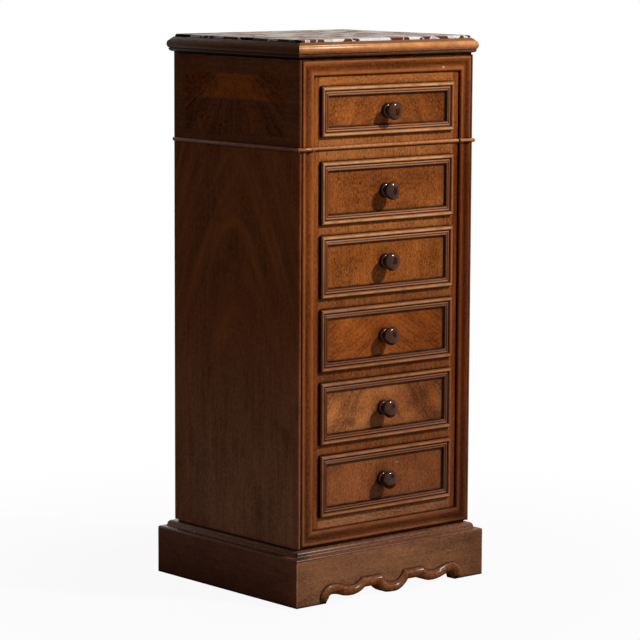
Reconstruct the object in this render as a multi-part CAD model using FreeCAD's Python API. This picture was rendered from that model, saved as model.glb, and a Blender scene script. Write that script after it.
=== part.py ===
import FreeCAD, Part
import math
import os

V = FreeCAD.Vector

# A tall narrow chest of six drawers with a stone top, in millimetres.
# +Z is up, the front faces -Y, +X is to the viewer's right, and the origin is
# at the bottom centre, on the floor.

# Case
CASE_WIDTH = 435.0
CASE_DEPTH = 372.5              # front arris of the sides to their back edges
SIDE_THICKNESS = 18.0
SIDE_LIP = 5.0                  # strip of each side that shows beside the frame moulding
SIDE_ARRIS = 3.2                # rounding of the sides' front arris
FACE_SETBACK = 3.5              # stiles and rails behind the sides' front arris
STILE_WIDTH = 33.2
FRONT_THICKNESS = 22.0          # of the stiles and of the top, bottom and bead rails
DIVIDER_DEPTH = 60.0
BOTTOM_THICKNESS = 12.0
TOP_THICKNESS = 13.0
BACK_THICKNESS = 9.0
BACK_INSET = 2.0                # back boards in from the sides' back edges
BACK_REBATE = 9.0               # how far the back boards run into each side
BACK_BOARDS = 3
BACK_TONGUE = 5.0
SEAM = 4.0                      # shadow line between the case and the plinth
SEAM_RECESS = 5.0

# Heights of the openings and rails, from the bottom up
BOTTOM_RAIL = 51.9
LOWER_DRAWERS = 5
LOWER_OPENING = 118.2
DIVIDER = 19.0
BEAD_RAIL = 44.0
TOP_OPENING = 94.4
TOP_RAIL = 48.7

# Drawers
DRAWER_GAP = 0.75               # round each drawer front
RUNNING_GAP = 0.3               # drawer sides above their runners
GUIDE_GAP = 0.8                 # drawer sides beside their guides
DRAWER_FRONT = 20.0
DRAWER_SIDE = 11.0
DRAWER_BACK = 9.0
DRAWER_BOTTOM = 6.0
BOTTOM_RAISE = 7.0              # drawer bottom above the lower edge of the sides
BOTTOM_TONGUE = 5.0             # drawer bottom into the sides' grooves
FRONT_TONGUE = 8.0              # drawer bottom into the front's groove
SIDE_PLAY = 10.0                # top of the sides below the top of the opening
BACK_PLAY = 5.0                 # top of the drawer back below the sides
DRAWER_REAR_SPACE = 14.0        # behind the drawers, in front of the back boards
LAP = 8.0                       # wood left in front of the half-blind dovetails
TAIL_PITCH = 34.0
TAIL_ROOT = 0.6                 # root of a tail as a share of its pitch
TAIL_SLOPE = math.tan(math.radians(9.0))
STOP_LENGTH = 28.0
STOP_DEPTH = 10.0
STOP_HEIGHT = 5.0
STOP_SPREAD = 60.0              # stops to each side of the middle
GUIDE_HEIGHT = 20.0
RUNNER_OVERLAP = 4.0            # runners past the inner faces of the drawer sides

# Turned knobs
KNOB_RADIUS = 17.4
KNOB_LENGTH = 30.0
KNOB_CROWN = 8.0                # from the head's widest ring to its tip
KNOB_CROWN_STEPS = 3
KNOB_COLLAR_RADIUS = 13.2
KNOB_COLLAR_LENGTH = 7.2
KNOB_NECK_RADIUS = 7.2
KNOB_TENON_RADIUS = 5.0
KNOB_TENON_LENGTH = 17.0
KNOB_TENON_PLAY = 0.1
KNOB_PLACES = ((-0.5, -2.8), (-4.4, -1.5), (-3.8, 1.9),     # bored by hand, top drawer first:
               (-4.1, -1.7), (-5.9, -2.6), (-5.9, -1.9))    # aside and up from the middle

# Mouldings
DRAWER_MOULDING_WIDTH = 19.2
DRAWER_MOULDING_HEIGHT = 8.2
FRAME_WIDTH = 30.0
FRAME_HEIGHT = 5.9
FRAME_STEP = 2.8                # inner arris above the field
BEAD_HEIGHT = 8.0
BEAD_PROJECTION = 4.0
BEAD_RISE = 1.5                 # middle of the bead above the middle of its rail

# Cornice and stone top
CORNICE_PROJECTION = 7.2
CORNICE_BACK_PROJECTION = 14.6
CORNICE_HEIGHT = 31.7
CORNICE_NECK = 3.8              # height of the sunk neck under the ovolo
CORNICE_NECK_RECESS = 3.0
CORNICE_RIM = 10.1              # wood showing round the slab
CORNICE_SEAT = 35.0             # ledge under the slab
CORNICE_SEAT_HEIGHT = 17.5
TOP_SLAB_THICKNESS = 19.5
TOP_SLAB_GAP = 0.5
TOP_SLAB_CORNER = 4.0
TOP_SLAB_ARRIS = 1.6

# Plinth
PLINTH_PROJECTION = 19.3
PLINTH_BACK_PROJECTION = 29.1
PLINTH_BOARD_HEIGHT = 86.5
PLINTH_THICKNESS = 22.0
PLINTH_MOULDING_HEIGHT = 16.5
PLINTH_MOULDING_WIDTH = 40.0
BLOCK_LEG = 45.0
BLOCK_RAISE = 12.0

# Shaped apron and the half-round that follows its edge (centre line)
ROLL_WIDTH = 20.0
ROLL_PROUD = 8.5
ROLL_FLATS = 8                  # across the half-round
ROLL_FLOOR_GAP = 0.8
LOBE_HEIGHT = 8.0               # centre of the half-round at the middle lobe
CREST_HEIGHT = 28.0
CREST_START = 34.0              # from the middle of the front
CREST_END = 74.0
VALLEY_X = 103.0
VALLEY_HEIGHT = 17.0
SHOULDER_HEIGHT = 25.7
SHOULDER_INSET = 84.5           # plinth corner to the top of the last turn
FOOT_RADIUS = 19.0              # of the last turn, down into the foot
FOOT_TURN = 70.0

# Derived places
half_width = CASE_WIDTH / 2
opening_half = half_width - SIDE_THICKNESS - STILE_WIDTH
side_inner = half_width - SIDE_THICKNESS
total_depth = ROLL_PROUD + PLINTH_PROJECTION + CASE_DEPTH + PLINTH_BACK_PROJECTION
plinth_front_y = -total_depth / 2 + ROLL_PROUD
plinth_back_y = total_depth / 2
case_front = plinth_front_y + PLINTH_PROJECTION
case_back = case_front + CASE_DEPTH
face_y = case_front + FACE_SETBACK
back_face = case_back - BACK_INSET - BACK_THICKNESS
rail_back = face_y + FRONT_THICKNESS
plinth_top = PLINTH_BOARD_HEIGHT + PLINTH_MOULDING_HEIGHT
case_bottom = plinth_top + SEAM
first_opening = case_bottom + BOTTOM_RAIL
bead_rail_z = first_opening + LOWER_DRAWERS * LOWER_OPENING + (LOWER_DRAWERS - 1) * DIVIDER
top_opening_z = bead_rail_z + BEAD_RAIL
top_rail_z = top_opening_z + TOP_OPENING
case_top = top_rail_z + TOP_RAIL
plinth_half = half_width + PLINTH_PROJECTION
cornice_half = half_width + CORNICE_PROJECTION
cornice_front = case_front - CORNICE_PROJECTION
cornice_back = case_back + CORNICE_BACK_PROJECTION

# Openings from the top down: (bottom, height)
openings = [(top_opening_z, TOP_OPENING)]
for level in reversed(range(LOWER_DRAWERS)):
    openings.append((first_opening + level * (LOWER_OPENING + DIVIDER), LOWER_OPENING))


def box(x0, x1, y0, y1, z0, z1):
    return Part.makeBox(x1 - x0, y1 - y0, z1 - z0, V(x0, y0, z0))


def outline(place, start, *steps):
    """A closed face. A step is an end point, or (point on the arc, end point)."""
    edges = []
    here = start
    for step in steps + (start,):
        if isinstance(step[0], tuple):
            edges.append(Part.Arc(place(*here), place(*step[0]), place(*step[1])).toShape())
            here = step[1]
        elif step != here:
            edges.append(Part.makeLine(place(*here), place(*step)))
            here = step
    return Part.Face(Part.Wire(edges))


def chords(start, middle, end, count):
    """Points along an arc, for round forms worked in short flats."""
    arc = Part.Arc(V(*start), V(*middle), V(*end))
    return [(point.x, point.y) for point in arc.discretize(count + 1)[1:]]


def in_section(inward, height):
    """Across a moulding: inward from its outer edge, and up from its seat."""
    return V(0, inward, height)


def in_shares(width, height):
    """Across a moulding, in shares of a width and a height."""
    return lambda inward, up: V(0, inward * width, up * height)


def in_plan(x, y):
    return V(x, y, 0)


def mirrored(shape):
    return shape.mirror(V(0, 0, 0), V(1, 0, 0))


def frame_matrix(origin, along, inward, up):
    return FreeCAD.Matrix(along.x, inward.x, up.x, origin.x,
                          along.y, inward.y, up.y, origin.y,
                          along.z, inward.z, up.z, origin.z,
                          0, 0, 0, 1)


def mitred_ring(section, width, corner, along, inward, length, breadth):
    """Four lengths of one moulding round a rectangle, mitred at the corners.

    The first length starts at corner and runs along; the rest follow in turn.
    """
    up = along.cross(inward)
    reach = section.BoundBox.ZMax - section.BoundBox.ZMin + 1
    lengths = []
    for size in (length, breadth, length, breadth):
        bar = section.extrude(V(size, 0, 0))
        trim = Part.Face(Part.makePolygon([V(0, 0, -reach), V(size, 0, -reach),
                                           V(size - width, width, -reach),
                                           V(width, width, -reach), V(0, 0, -reach)]))
        piece = bar.common(trim.extrude(V(0, 0, 2 * reach)))
        piece.Placement = FreeCAD.Placement(frame_matrix(corner, along, inward, up))
        lengths.append(piece)
        corner = corner + along * size
        along, inward = inward, along * -1
    return lengths


def save(name, *shapes):
    shape = shapes[0] if len(shapes) == 1 else Part.makeCompound(list(shapes))
    shape.exportStep("parts/" + name + ".step")


# ---------------------------------------------------------------- mouldings

def frame_section():
    """Groove, round outer crest, hollow, slow rise to a nose, and a step down to the field."""
    step = FRAME_STEP / FRAME_HEIGHT
    nose = (0.97 + step) / 2 + 0.137
    return outline(in_shares(FRAME_WIDTH, FRAME_HEIGHT), (0, 0), (0, 0.14), (0.047, 0.14),
                   ((0.09, 0.73), (0.18, 1)), ((0.32, 0.69), (0.483, 0.46)),
                   ((0.653, 0.69), (0.82, 0.97)), ((0.93, nose), (0.987, step)), (1, step), (1, 0))


def drawer_moulding_section():
    """Bold torus, quirk, two small beads, and a step down to the panel."""
    return outline(in_shares(DRAWER_MOULDING_WIDTH, DRAWER_MOULDING_HEIGHT), (0, 0), (0, 0.52),
                   ((0.21, 1), (0.427, 0.52)), (0.458, 0.52), ((0.568, 0.73), (0.677, 0.55)),
                   ((0.797, 0.67), (0.917, 0.46)), (0.958, 0.1), (1, 0.1), (1, 0))


def cornice_section():
    """Sunk neck, ovolo, torus and bevelled shoulder, with a rebate inside for the slab."""
    reach, height = CORNICE_PROJECTION, CORNICE_HEIGHT
    neck = reach + CORNICE_NECK_RECESS
    seat_edge = CORNICE_RIM + CORNICE_SEAT
    return outline(in_section, (neck, 0), (neck, CORNICE_NECK), (0.96 * reach, CORNICE_NECK),
                   ((0.5 * reach, 0.2 * height), (0.36 * reach, 0.31 * height)),
                   (0.55 * reach, 0.31 * height), (0.55 * reach, 0.335 * height),
                   (0.375 * reach, 0.335 * height),
                   ((0, 0.59 * height), (0.42 * reach, 0.81 * height)),
                   (0.58 * reach, 0.81 * height), (0.61 * reach, 0.845 * height),
                   (CORNICE_RIM - 0.4, height), (CORNICE_RIM, height),
                   (CORNICE_RIM, CORNICE_SEAT_HEIGHT), (seat_edge, CORNICE_SEAT_HEIGHT),
                   (seat_edge, 0))


def plinth_section():
    """Rounded arris, nearly level flat, hollow, and a convex roll rising to the case."""
    breadth = PLINTH_MOULDING_WIDTH / PLINTH_PROJECTION
    return outline(in_shares(PLINTH_PROJECTION, PLINTH_MOULDING_HEIGHT), (0, 0), (0, 0.127),
                   ((0.047, 0.235), (0.145, 0.29)), (0.39, 0.33), ((0.56, 0.38), (0.653, 0.52)),
                   ((0.755, 0.86), (0.975, 1)), (breadth, 1), (breadth, 0))


def make_frame_moulding():
    outer = half_width - SIDE_LIP
    return mitred_ring(frame_section(), FRAME_WIDTH, V(-outer, face_y, case_bottom),
                       V(1, 0, 0), V(0, 0, 1), 2 * outer, case_top - case_bottom)


def make_bead(backing):
    """A bead across the field, coped over the frame moulding and along both sides."""
    middle = bead_rail_z + BEAD_RAIL / 2 + BEAD_RISE
    tail = FRAME_HEIGHT + 1.5
    outer = half_width - SIDE_LIP
    inner = outer - FRAME_WIDTH
    crowns = (outer - 0.82 * FRAME_WIDTH, outer - 0.18 * FRAME_WIDTH)
    nose = outline(in_section, (-tail, -BEAD_HEIGHT / 2), (0, -BEAD_HEIGHT / 2),
                   ((BEAD_PROJECTION, 0), (0, BEAD_HEIGHT / 2)), (-tail, BEAD_HEIGHT / 2))
    route = [V(inner, face_y - FRAME_STEP, 0), V(crowns[0], face_y - 0.97 * FRAME_HEIGHT, 0),
             V(crowns[1], face_y - FRAME_HEIGHT, 0), V(half_width, case_front, 0),
             V(half_width, case_back, 0)]
    steps = [(b - a).normalize() for a, b in zip(route, route[1:])]
    outward = [V(d.y, -d.x, 0) for d in steps]
    mitres = [outward[0]]
    for a, b in zip(outward, outward[1:]):
        mitres.append((a + b) * (1 / (1 + a.dot(b))))
    mitres.append(outward[-1])
    mitres[0] = V(0, -1, 0) * (1 / outward[0].dot(V(0, -1, 0)))
    pieces = []
    for i, (direction, out) in enumerate(zip(steps, outward)):
        a, b = route[i], route[i + 1]
        overrun = 4 * tail
        bar = nose.extrude(V((b - a).Length + 2 * overrun, 0, 0))
        bar.Placement = FreeCAD.Placement(
            frame_matrix(b + direction * overrun + V(0, 0, middle), direction * -1, out,
                         V(0, 0, 1)))
        corners = [a - mitres[i] * tail, a + mitres[i] * 2 * BEAD_PROJECTION,
                   b + mitres[i + 1] * 2 * BEAD_PROJECTION, b - mitres[i + 1] * tail]
        wedge = Part.Face(Part.makePolygon(corners + corners[:1]))
        wedge.translate(V(0, 0, middle - BEAD_HEIGHT))
        piece = bar.common(wedge.extrude(V(0, 0, 2 * BEAD_HEIGHT))).cut(backing)
        pieces += piece.Solids
    field = outline(lambda y, z: V(-inner, face_y - y, middle + z), (0, -BEAD_HEIGHT / 2),
                    ((BEAD_PROJECTION, 0), (0, BEAD_HEIGHT / 2))).extrude(V(2 * inner, 0, 0))
    return [field] + pieces + [mirrored(piece) for piece in pieces]


# --------------------------------------------------------------------- case

def make_side():
    """Right side panel: front lip beside the frame moulding, rebate for the back."""
    lip = half_width - SIDE_LIP
    arris = half_width - SIDE_ARRIS
    bend = SIDE_ARRIS * (1 - math.sqrt(0.5))
    plan = outline(in_plan, (side_inner, face_y), (lip, face_y), (lip, case_front),
                   (arris, case_front),
                   ((half_width - bend, case_front + bend), (half_width, case_front + SIDE_ARRIS)),
                   (half_width, case_back), (side_inner + BACK_REBATE, case_back),
                   (side_inner + BACK_REBATE, back_face), (side_inner, back_face))
    plan.translate(V(0, 0, case_bottom))
    return plan.extrude(V(0, 0, case_top - case_bottom))


def make_back_boards():
    """Upright boards, tongued and grooved to each other."""
    edge = side_inner + BACK_REBATE
    pitch = 2 * edge / BACK_BOARDS
    y0, y1 = back_face, back_face + BACK_THICKNESS
    t0, t1 = y0 + BACK_THICKNESS / 3, y0 + 2 * BACK_THICKNESS / 3
    boards = []
    for i in range(BACK_BOARDS):
        x0 = -edge + i * pitch
        x1 = x0 + pitch
        points = [(x0, y0), (x1, y0)]
        if i < BACK_BOARDS - 1:
            points += [(x1, t0), (x1 + BACK_TONGUE, t0), (x1 + BACK_TONGUE, t1), (x1, t1)]
        points += [(x1, y1), (x0, y1)]
        if i > 0:
            points += [(x0, t1), (x0 + BACK_TONGUE, t1), (x0 + BACK_TONGUE, t0), (x0, t0)]
        plan = outline(in_plan, *points)
        plan.translate(V(0, 0, case_bottom))
        boards.append(plan.extrude(V(0, 0, case_top - case_bottom)))
    return boards


def make_bottom_board():
    """Fits between the sides, with a thin foot that leaves the shadow line."""
    foot = half_width - SEAM_RECESS
    base = box(-foot, foot, face_y + SEAM_RECESS, case_back - SEAM_RECESS, plinth_top, case_bottom)
    board = box(-side_inner, side_inner, rail_back, back_face,
                case_bottom, case_bottom + BOTTOM_THICKNESS)
    return base.fuse(board).removeSplitter()


def make_divider(z):
    """Rail between two drawers: between the stiles, and wider behind them."""
    plan = outline(in_plan, (-opening_half, face_y), (opening_half, face_y),
                   (opening_half, rail_back), (side_inner, rail_back),
                   (side_inner, face_y + DIVIDER_DEPTH), (-side_inner, face_y + DIVIDER_DEPTH),
                   (-side_inner, rail_back), (-opening_half, rail_back))
    plan.translate(V(0, 0, z))
    return plan.extrude(V(0, 0, DIVIDER))


def make_rails():
    dividers = [make_divider(z - DIVIDER) for z, height in openings[1:-1]]
    bead_rail = box(-opening_half, opening_half, face_y, rail_back, bead_rail_z, top_opening_z)
    shelf = make_divider(top_opening_z - DIVIDER)
    bead_rail = bead_rail.fuse(shelf).removeSplitter()
    bottom = box(-opening_half, opening_half, face_y, rail_back, case_bottom, first_opening)
    bottom = bottom.fuse(make_divider(first_opening - DIVIDER)).removeSplitter()
    top = box(-opening_half, opening_half, face_y, rail_back, top_rail_z, case_top)
    return top, bottom, dividers + [bead_rail]


def make_runners():
    """A pair under every drawer, and a pair over the top one against tipping."""
    inner = opening_half - GUIDE_GAP - DRAWER_SIDE - RUNNER_OVERLAP
    levels = [z - DIVIDER for z, height in openings] + [top_rail_z]
    runners = []
    for z in levels:
        start = face_y + DIVIDER_DEPTH if z < top_rail_z else rail_back
        block = box(inner, side_inner, start, back_face, z, z + DIVIDER)
        runners += [block, mirrored(block)]
    return runners


def make_guides():
    guides = []
    for z, height in openings:
        strip = box(opening_half, side_inner, rail_back, back_face, z, z + GUIDE_HEIGHT)
        guides += [strip, mirrored(strip)]
    return guides


def make_stops():
    start = face_y + DRAWER_FRONT + RUNNING_GAP
    stops = []
    for z, height in openings:
        for x in (-STOP_SPREAD, STOP_SPREAD):
            stops.append(box(x - STOP_LENGTH / 2, x + STOP_LENGTH / 2,
                             start, start + STOP_DEPTH, z, z + STOP_HEIGHT))
    return stops


# ------------------------------------------------------------------ drawers

def tail_rows(z0, z1):
    """Centre, half root and half tip of each dovetail between two heights."""
    count = max(2, math.floor((z1 - z0) / TAIL_PITCH))
    lowest = (z0 + z1 - (count - 1) * TAIL_PITCH) / 2
    return [(lowest + i * TAIL_PITCH, TAIL_ROOT * TAIL_PITCH / 2) for i in range(count)]


def side_outline(z0, z1, tip, root, back_root, end):
    """Side view of a drawer side with tails at both ends."""
    rows = tail_rows(z0, z1)
    spread = (root - tip) * TAIL_SLOPE
    back_spread = (end - back_root) * TAIL_SLOPE
    points = [(root, z0)]
    for z, half in rows:
        points += [(root, z - half), (tip, z - half - spread),
                   (tip, z + half + spread), (root, z + half)]
    points += [(root, z1), (back_root, z1)]
    for z, half in reversed(rows[1:]):
        points += [(back_root, z + half), (end, z + half + back_spread),
                   (end, z - half - back_spread), (back_root, z - half)]
    z, half = rows[0]
    points += [(back_root, z + half), (end, z + half + back_spread), (end, z0)]
    return points


def make_knob(x, z):
    """Collar, neck and mushroom head turned in one piece with its tenon."""
    collar = KNOB_COLLAR_LENGTH
    neck = collar + 5.0
    widest = KNOB_LENGTH - KNOB_CROWN
    foot = (KNOB_COLLAR_RADIUS - 1.4, 0)
    collar_edge = chords(foot, (KNOB_COLLAR_RADIUS, collar / 2),
                         (KNOB_COLLAR_RADIUS - 1.8, collar), 2)
    underside = chords((KNOB_NECK_RADIUS, neck), (0.8 * KNOB_RADIUS, neck + 3.0),
                       (KNOB_RADIUS, widest), 2)
    crown = []
    for step in range(1, KNOB_CROWN_STEPS):
        angle = math.pi / 2 * step / KNOB_CROWN_STEPS
        crown.append((KNOB_RADIUS * math.cos(angle) ** 0.8,
                      widest + KNOB_CROWN * math.sin(angle) ** 0.8))
    profile = outline(lambda r, t: V(x + r, face_y - t, z),
                      (0, -KNOB_TENON_LENGTH), (KNOB_TENON_RADIUS, -KNOB_TENON_LENGTH),
                      (KNOB_TENON_RADIUS, 0), foot, *collar_edge,
                      (KNOB_NECK_RADIUS, collar + 1.0), (KNOB_NECK_RADIUS, neck), *underside,
                      *crown, (0, KNOB_LENGTH))
    return profile.revolve(V(x, face_y, z), V(0, 1, 0), 360)


def make_drawer(name, opening_z, opening_height, knob_place):
    half = opening_half - DRAWER_GAP
    outer = opening_half - GUIDE_GAP
    front_z0 = opening_z + DRAWER_GAP
    front_z1 = opening_z + opening_height - DRAWER_GAP
    z0 = opening_z + RUNNING_GAP
    z1 = opening_z + opening_height - SIDE_PLAY
    root = face_y + DRAWER_FRONT
    end = back_face - DRAWER_REAR_SPACE
    back_root = end - DRAWER_BACK
    panel_z = z0 + BOTTOM_RAISE
    panel_half = outer - DRAWER_SIDE + BOTTOM_TONGUE
    panel = box(-panel_half, panel_half, root - FRONT_TONGUE, end,
                panel_z, panel_z + DRAWER_BOTTOM)
    points = side_outline(z0, z1, face_y + LAP, root, back_root, end)
    profile = outline(lambda y, z: V(outer - DRAWER_SIDE, y, z), *points)
    side = profile.extrude(V(DRAWER_SIDE, 0, 0)).cut(panel)
    sides = [mirrored(side), side]
    knob_x, knob_z = knob_place[0], (front_z0 + front_z1) / 2 + knob_place[1]
    socket = Part.makeCylinder(KNOB_TENON_RADIUS + KNOB_TENON_PLAY, KNOB_TENON_LENGTH,
                               V(knob_x, face_y, knob_z), V(0, 1, 0))
    front = box(-half, half, face_y, root, front_z0, front_z1)
    front = front.cut([socket, panel] + sides)
    back = box(-outer, outer, back_root, end, panel_z + DRAWER_BOTTOM, z1 - BACK_PLAY)
    back = back.cut(sides)
    moulding = mitred_ring(drawer_moulding_section(), DRAWER_MOULDING_WIDTH,
                           V(-half, face_y, front_z0), V(1, 0, 0), V(0, 0, 1),
                           2 * half, front_z1 - front_z0)
    save(name + "_front", front)
    save(name + "_moulding", *moulding)
    save(name + "_sides", *sides)
    save(name + "_back", back)
    save(name + "_bottom", panel)
    save(name + "_knob", make_knob(knob_x, knob_z))


# -------------------------------------------------------- cornice and plinth

def make_cornice():
    return mitred_ring(cornice_section(), CORNICE_RIM + CORNICE_SEAT,
                       V(-cornice_half, cornice_front, case_top), V(1, 0, 0), V(0, 1, 0),
                       2 * cornice_half, cornice_back - cornice_front)


def make_top_slab():
    """Stone slab let into the cornice, with an eased upper arris."""
    inset = CORNICE_RIM + TOP_SLAB_GAP
    z0 = case_top + CORNICE_SEAT_HEIGHT
    slab = box(-cornice_half + inset, cornice_half - inset, cornice_front + inset,
               cornice_back - inset, z0, z0 + TOP_SLAB_THICKNESS)
    upright = [e for e in slab.Edges if abs(e.tangentAt(e.FirstParameter).z) > 0.9]
    slab = slab.makeFillet(TOP_SLAB_CORNER, upright)
    z1 = z0 + TOP_SLAB_THICKNESS
    rim = [e for e in slab.Edges if all(abs(v.Z - z1) < 0.01 for v in e.Vertexes)]
    return slab.makeChamfer(TOP_SLAB_ARRIS, rim)


def make_plinth_boards():
    section = outline(in_section, (0, 0), (PLINTH_THICKNESS, 0),
                      (PLINTH_THICKNESS, PLINTH_BOARD_HEIGHT), (0, PLINTH_BOARD_HEIGHT))
    return mitred_ring(section, PLINTH_THICKNESS, V(-plinth_half, plinth_front_y, 0),
                       V(1, 0, 0), V(0, 1, 0), 2 * plinth_half, plinth_back_y - plinth_front_y)


def make_plinth_moulding():
    return mitred_ring(plinth_section(), PLINTH_MOULDING_WIDTH,
                       V(-plinth_half, plinth_front_y, PLINTH_BOARD_HEIGHT),
                       V(1, 0, 0), V(0, 1, 0), 2 * plinth_half, plinth_back_y - plinth_front_y)


def make_corner_blocks():
    """Three-sided glue blocks in the inner corners of the plinth."""
    x = plinth_half - PLINTH_THICKNESS
    blocks = []
    for y, turn in ((plinth_front_y + PLINTH_THICKNESS, 1), (plinth_back_y - PLINTH_THICKNESS, -1)):
        plan = outline(in_plan, (x, y), (x - BLOCK_LEG, y), (x, y + turn * BLOCK_LEG))
        plan.translate(V(0, 0, BLOCK_RAISE))
        block = plan.extrude(V(0, 0, PLINTH_BOARD_HEIGHT - BLOCK_RAISE))
        blocks += [block, mirrored(block)]
    return blocks


def tangent_arc(x0, z0, x1, z1, level_end):
    """Middle of the arc between two points that lies level at one end."""
    dx, dz = x1 - x0, z1 - z0
    radius = (dx * dx + dz * dz) / (2 * abs(dz))
    sweep = math.asin(min(1.0, abs(dx) / radius))
    bow = radius * (1 - math.cos(sweep / 2))
    run = radius * math.sin(sweep / 2)
    flat_x, flat_z, far_x, far_z = (x0, z0, x1, z1) if level_end == 0 else (x1, z1, x0, z0)
    return (flat_x + math.copysign(run, far_x - flat_x),
            flat_z + math.copysign(bow, far_z - flat_z))


def apron_runs():
    """The right half of the half-round's centre line: (start, middle or None, end)."""
    shoulder_x = plinth_half - SHOULDER_INSET
    turn_x, turn_z = (VALLEY_X + shoulder_x) / 2, (VALLEY_HEIGHT + SHOULDER_HEIGHT) / 2
    bend = []
    for angle in (math.radians(FOOT_TURN / 2), math.radians(FOOT_TURN)):
        bend.append((shoulder_x + FOOT_RADIUS * math.sin(angle),
                     SHOULDER_HEIGHT - FOOT_RADIUS * (1 - math.cos(angle))))
    return [
        ((CREST_START, CREST_HEIGHT), None, (CREST_END, CREST_HEIGHT)),
        ((CREST_END, CREST_HEIGHT),
         tangent_arc(CREST_END, CREST_HEIGHT, VALLEY_X, VALLEY_HEIGHT, 1),
         (VALLEY_X, VALLEY_HEIGHT)),
        ((VALLEY_X, VALLEY_HEIGHT), tangent_arc(VALLEY_X, VALLEY_HEIGHT, turn_x, turn_z, 0),
         (turn_x, turn_z)),
        ((turn_x, turn_z), tangent_arc(turn_x, turn_z, shoulder_x, SHOULDER_HEIGHT, 1),
         (shoulder_x, SHOULDER_HEIGHT)),
        ((shoulder_x, SHOULDER_HEIGHT), bend[0], bend[1]),
    ]


def apron_edges(y):
    """The whole centre line as edges in order, from the left foot to the right one."""
    edges = [Part.Arc(V(-CREST_START, y, CREST_HEIGHT), V(0, y, LOBE_HEIGHT),
                      V(CREST_START, y, CREST_HEIGHT)).toShape()]
    for a, middle, b in apron_runs():
        for side in (1, -1):
            start, stop = V(side * a[0], y, a[1]), V(side * b[0], y, b[1])
            if side < 0:
                start, stop = stop, start
            if middle is None:
                edge = Part.makeLine(start, stop)
            else:
                edge = Part.Arc(start, V(side * middle[0], y, middle[1]), stop).toShape()
            if side < 0:
                edges.insert(0, edge)
            else:
                edges.append(edge)
    return edges


def roll_rim():
    """Across the half-round's rounded face, from one edge to the other."""
    rim = chords((-ROLL_WIDTH / 2, 0), (0, ROLL_PROUD), (ROLL_WIDTH / 2, 0), ROLL_FLATS)
    return [(-ROLL_WIDTH / 2, 0)] + rim


def half_round(edge, overrun):
    """Half-round over one edge of the centre line, run on a little past both ends."""
    start = edge.valueAt(edge.FirstParameter)
    heading = edge.tangentAt(edge.FirstParameter)
    sideways = V(0, 1, 0).cross(heading)
    section = outline(lambda across, out: start + sideways * across - V(0, out, 0), *roll_rim())
    if isinstance(edge.Curve, Part.Line):
        section.translate(heading * -overrun)
        return section.extrude(heading * (edge.Length + 2 * overrun))
    centre, radius = edge.Curve.Center, edge.Curve.Radius
    axis = (start - centre).cross(heading)
    extra = math.degrees(overrun / radius)
    section.rotate(centre, axis, -extra)
    return section.revolve(centre, axis, math.degrees(edge.Length / radius) + 2 * extra)


def beyond(point, normal):
    """All the room on one side of a plane that stands across the apron."""
    reach = 2 * plinth_half
    room = Part.makeBox(reach, 2 * reach, 2 * reach, V(0, -reach, -reach))
    room.Placement = FreeCAD.Placement(
        frame_matrix(point, normal, V(0, 1, 0), normal.cross(V(0, 1, 0))))
    return room


def roll_end(edge):
    """Rounded end that closes the half-round past the last point of its centre line."""
    end = edge.valueAt(edge.LastParameter)
    sideways = V(0, 1, 0).cross(edge.tangentAt(edge.LastParameter))
    rim = [(across, out) for across, out in roll_rim() if across > -0.01]
    section = outline(lambda across, out: end + sideways * across - V(0, out, 0), (0, 0), *rim)
    return section.revolve(end, V(0, -1, 0), 180)


def make_apron_roll():
    """Half-round glued on the apron along its shaped edge, mitred at the four cusps."""
    edges = apron_edges(plinth_front_y)
    pieces = [half_round(edge, 0.4 * ROLL_WIDTH) for edge in edges]
    for i in range(len(edges) - 1):
        joint = edges[i].valueAt(edges[i].LastParameter)
        heading = (edges[i].tangentAt(edges[i].LastParameter)
                   + edges[i + 1].tangentAt(edges[i + 1].FirstParameter)).normalize()
        pieces[i] = pieces[i].cut(beyond(joint, heading))
        pieces[i + 1] = pieces[i + 1].cut(beyond(joint, heading * -1))
    foot = edges[-1].valueAt(edges[-1].LastParameter)
    last = pieces[-1].cut(beyond(foot, edges[-1].tangentAt(edges[-1].LastParameter)))
    pieces[-1] = last.fuse(roll_end(edges[-1]))
    pieces[0] = mirrored(pieces[-1])
    room = box(-plinth_half, plinth_half, -total_depth, 0, ROLL_FLOOR_GAP, plinth_top)
    return pieces[0].fuse(pieces[1:]).common(room).removeSplitter()


def shape_apron(board):
    """Cut the front board to the half-round's lower edge, straight on to the floor."""
    edges = apron_edges(plinth_front_y)
    end = edges[-1].valueAt(edges[-1].LastParameter)
    heading = edges[-1].tangentAt(edges[-1].LastParameter)
    low = end + heading * (SHOULDER_HEIGHT + 2 * ROLL_WIDTH)
    left_end, left_low = V(-end.x, end.y, end.z), V(-low.x, low.y, low.z)
    edges += [Part.makeLine(end, low), Part.makeLine(low, left_low),
              Part.makeLine(left_low, left_end)]
    waste = Part.Face(Part.Wire(edges)).makeOffset2D(-ROLL_WIDTH / 2, 2)
    relief = box(-CREST_START, CREST_START, plinth_front_y, plinth_front_y + PLINTH_THICKNESS,
                 0, ROLL_FLOOR_GAP)
    return board.cut([waste.extrude(V(0, PLINTH_THICKNESS, 0)), relief])


# -------------------------------------------------------------------- build

os.makedirs("parts", exist_ok=True)

for number, (opening, place) in enumerate(zip(openings, KNOB_PLACES), start=1):
    make_drawer("drawer_%d" % number, *opening, place)

side_panel = make_side()
frame_lengths = make_frame_moulding()
stile = box(opening_half, side_inner, face_y, rail_back, case_bottom, case_top)
top_rail, bottom_rail, dividers = make_rails()
bead_backing = frame_lengths + [side_panel, stile]
front_board, right_board, back_board, left_board = make_plinth_boards()

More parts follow.
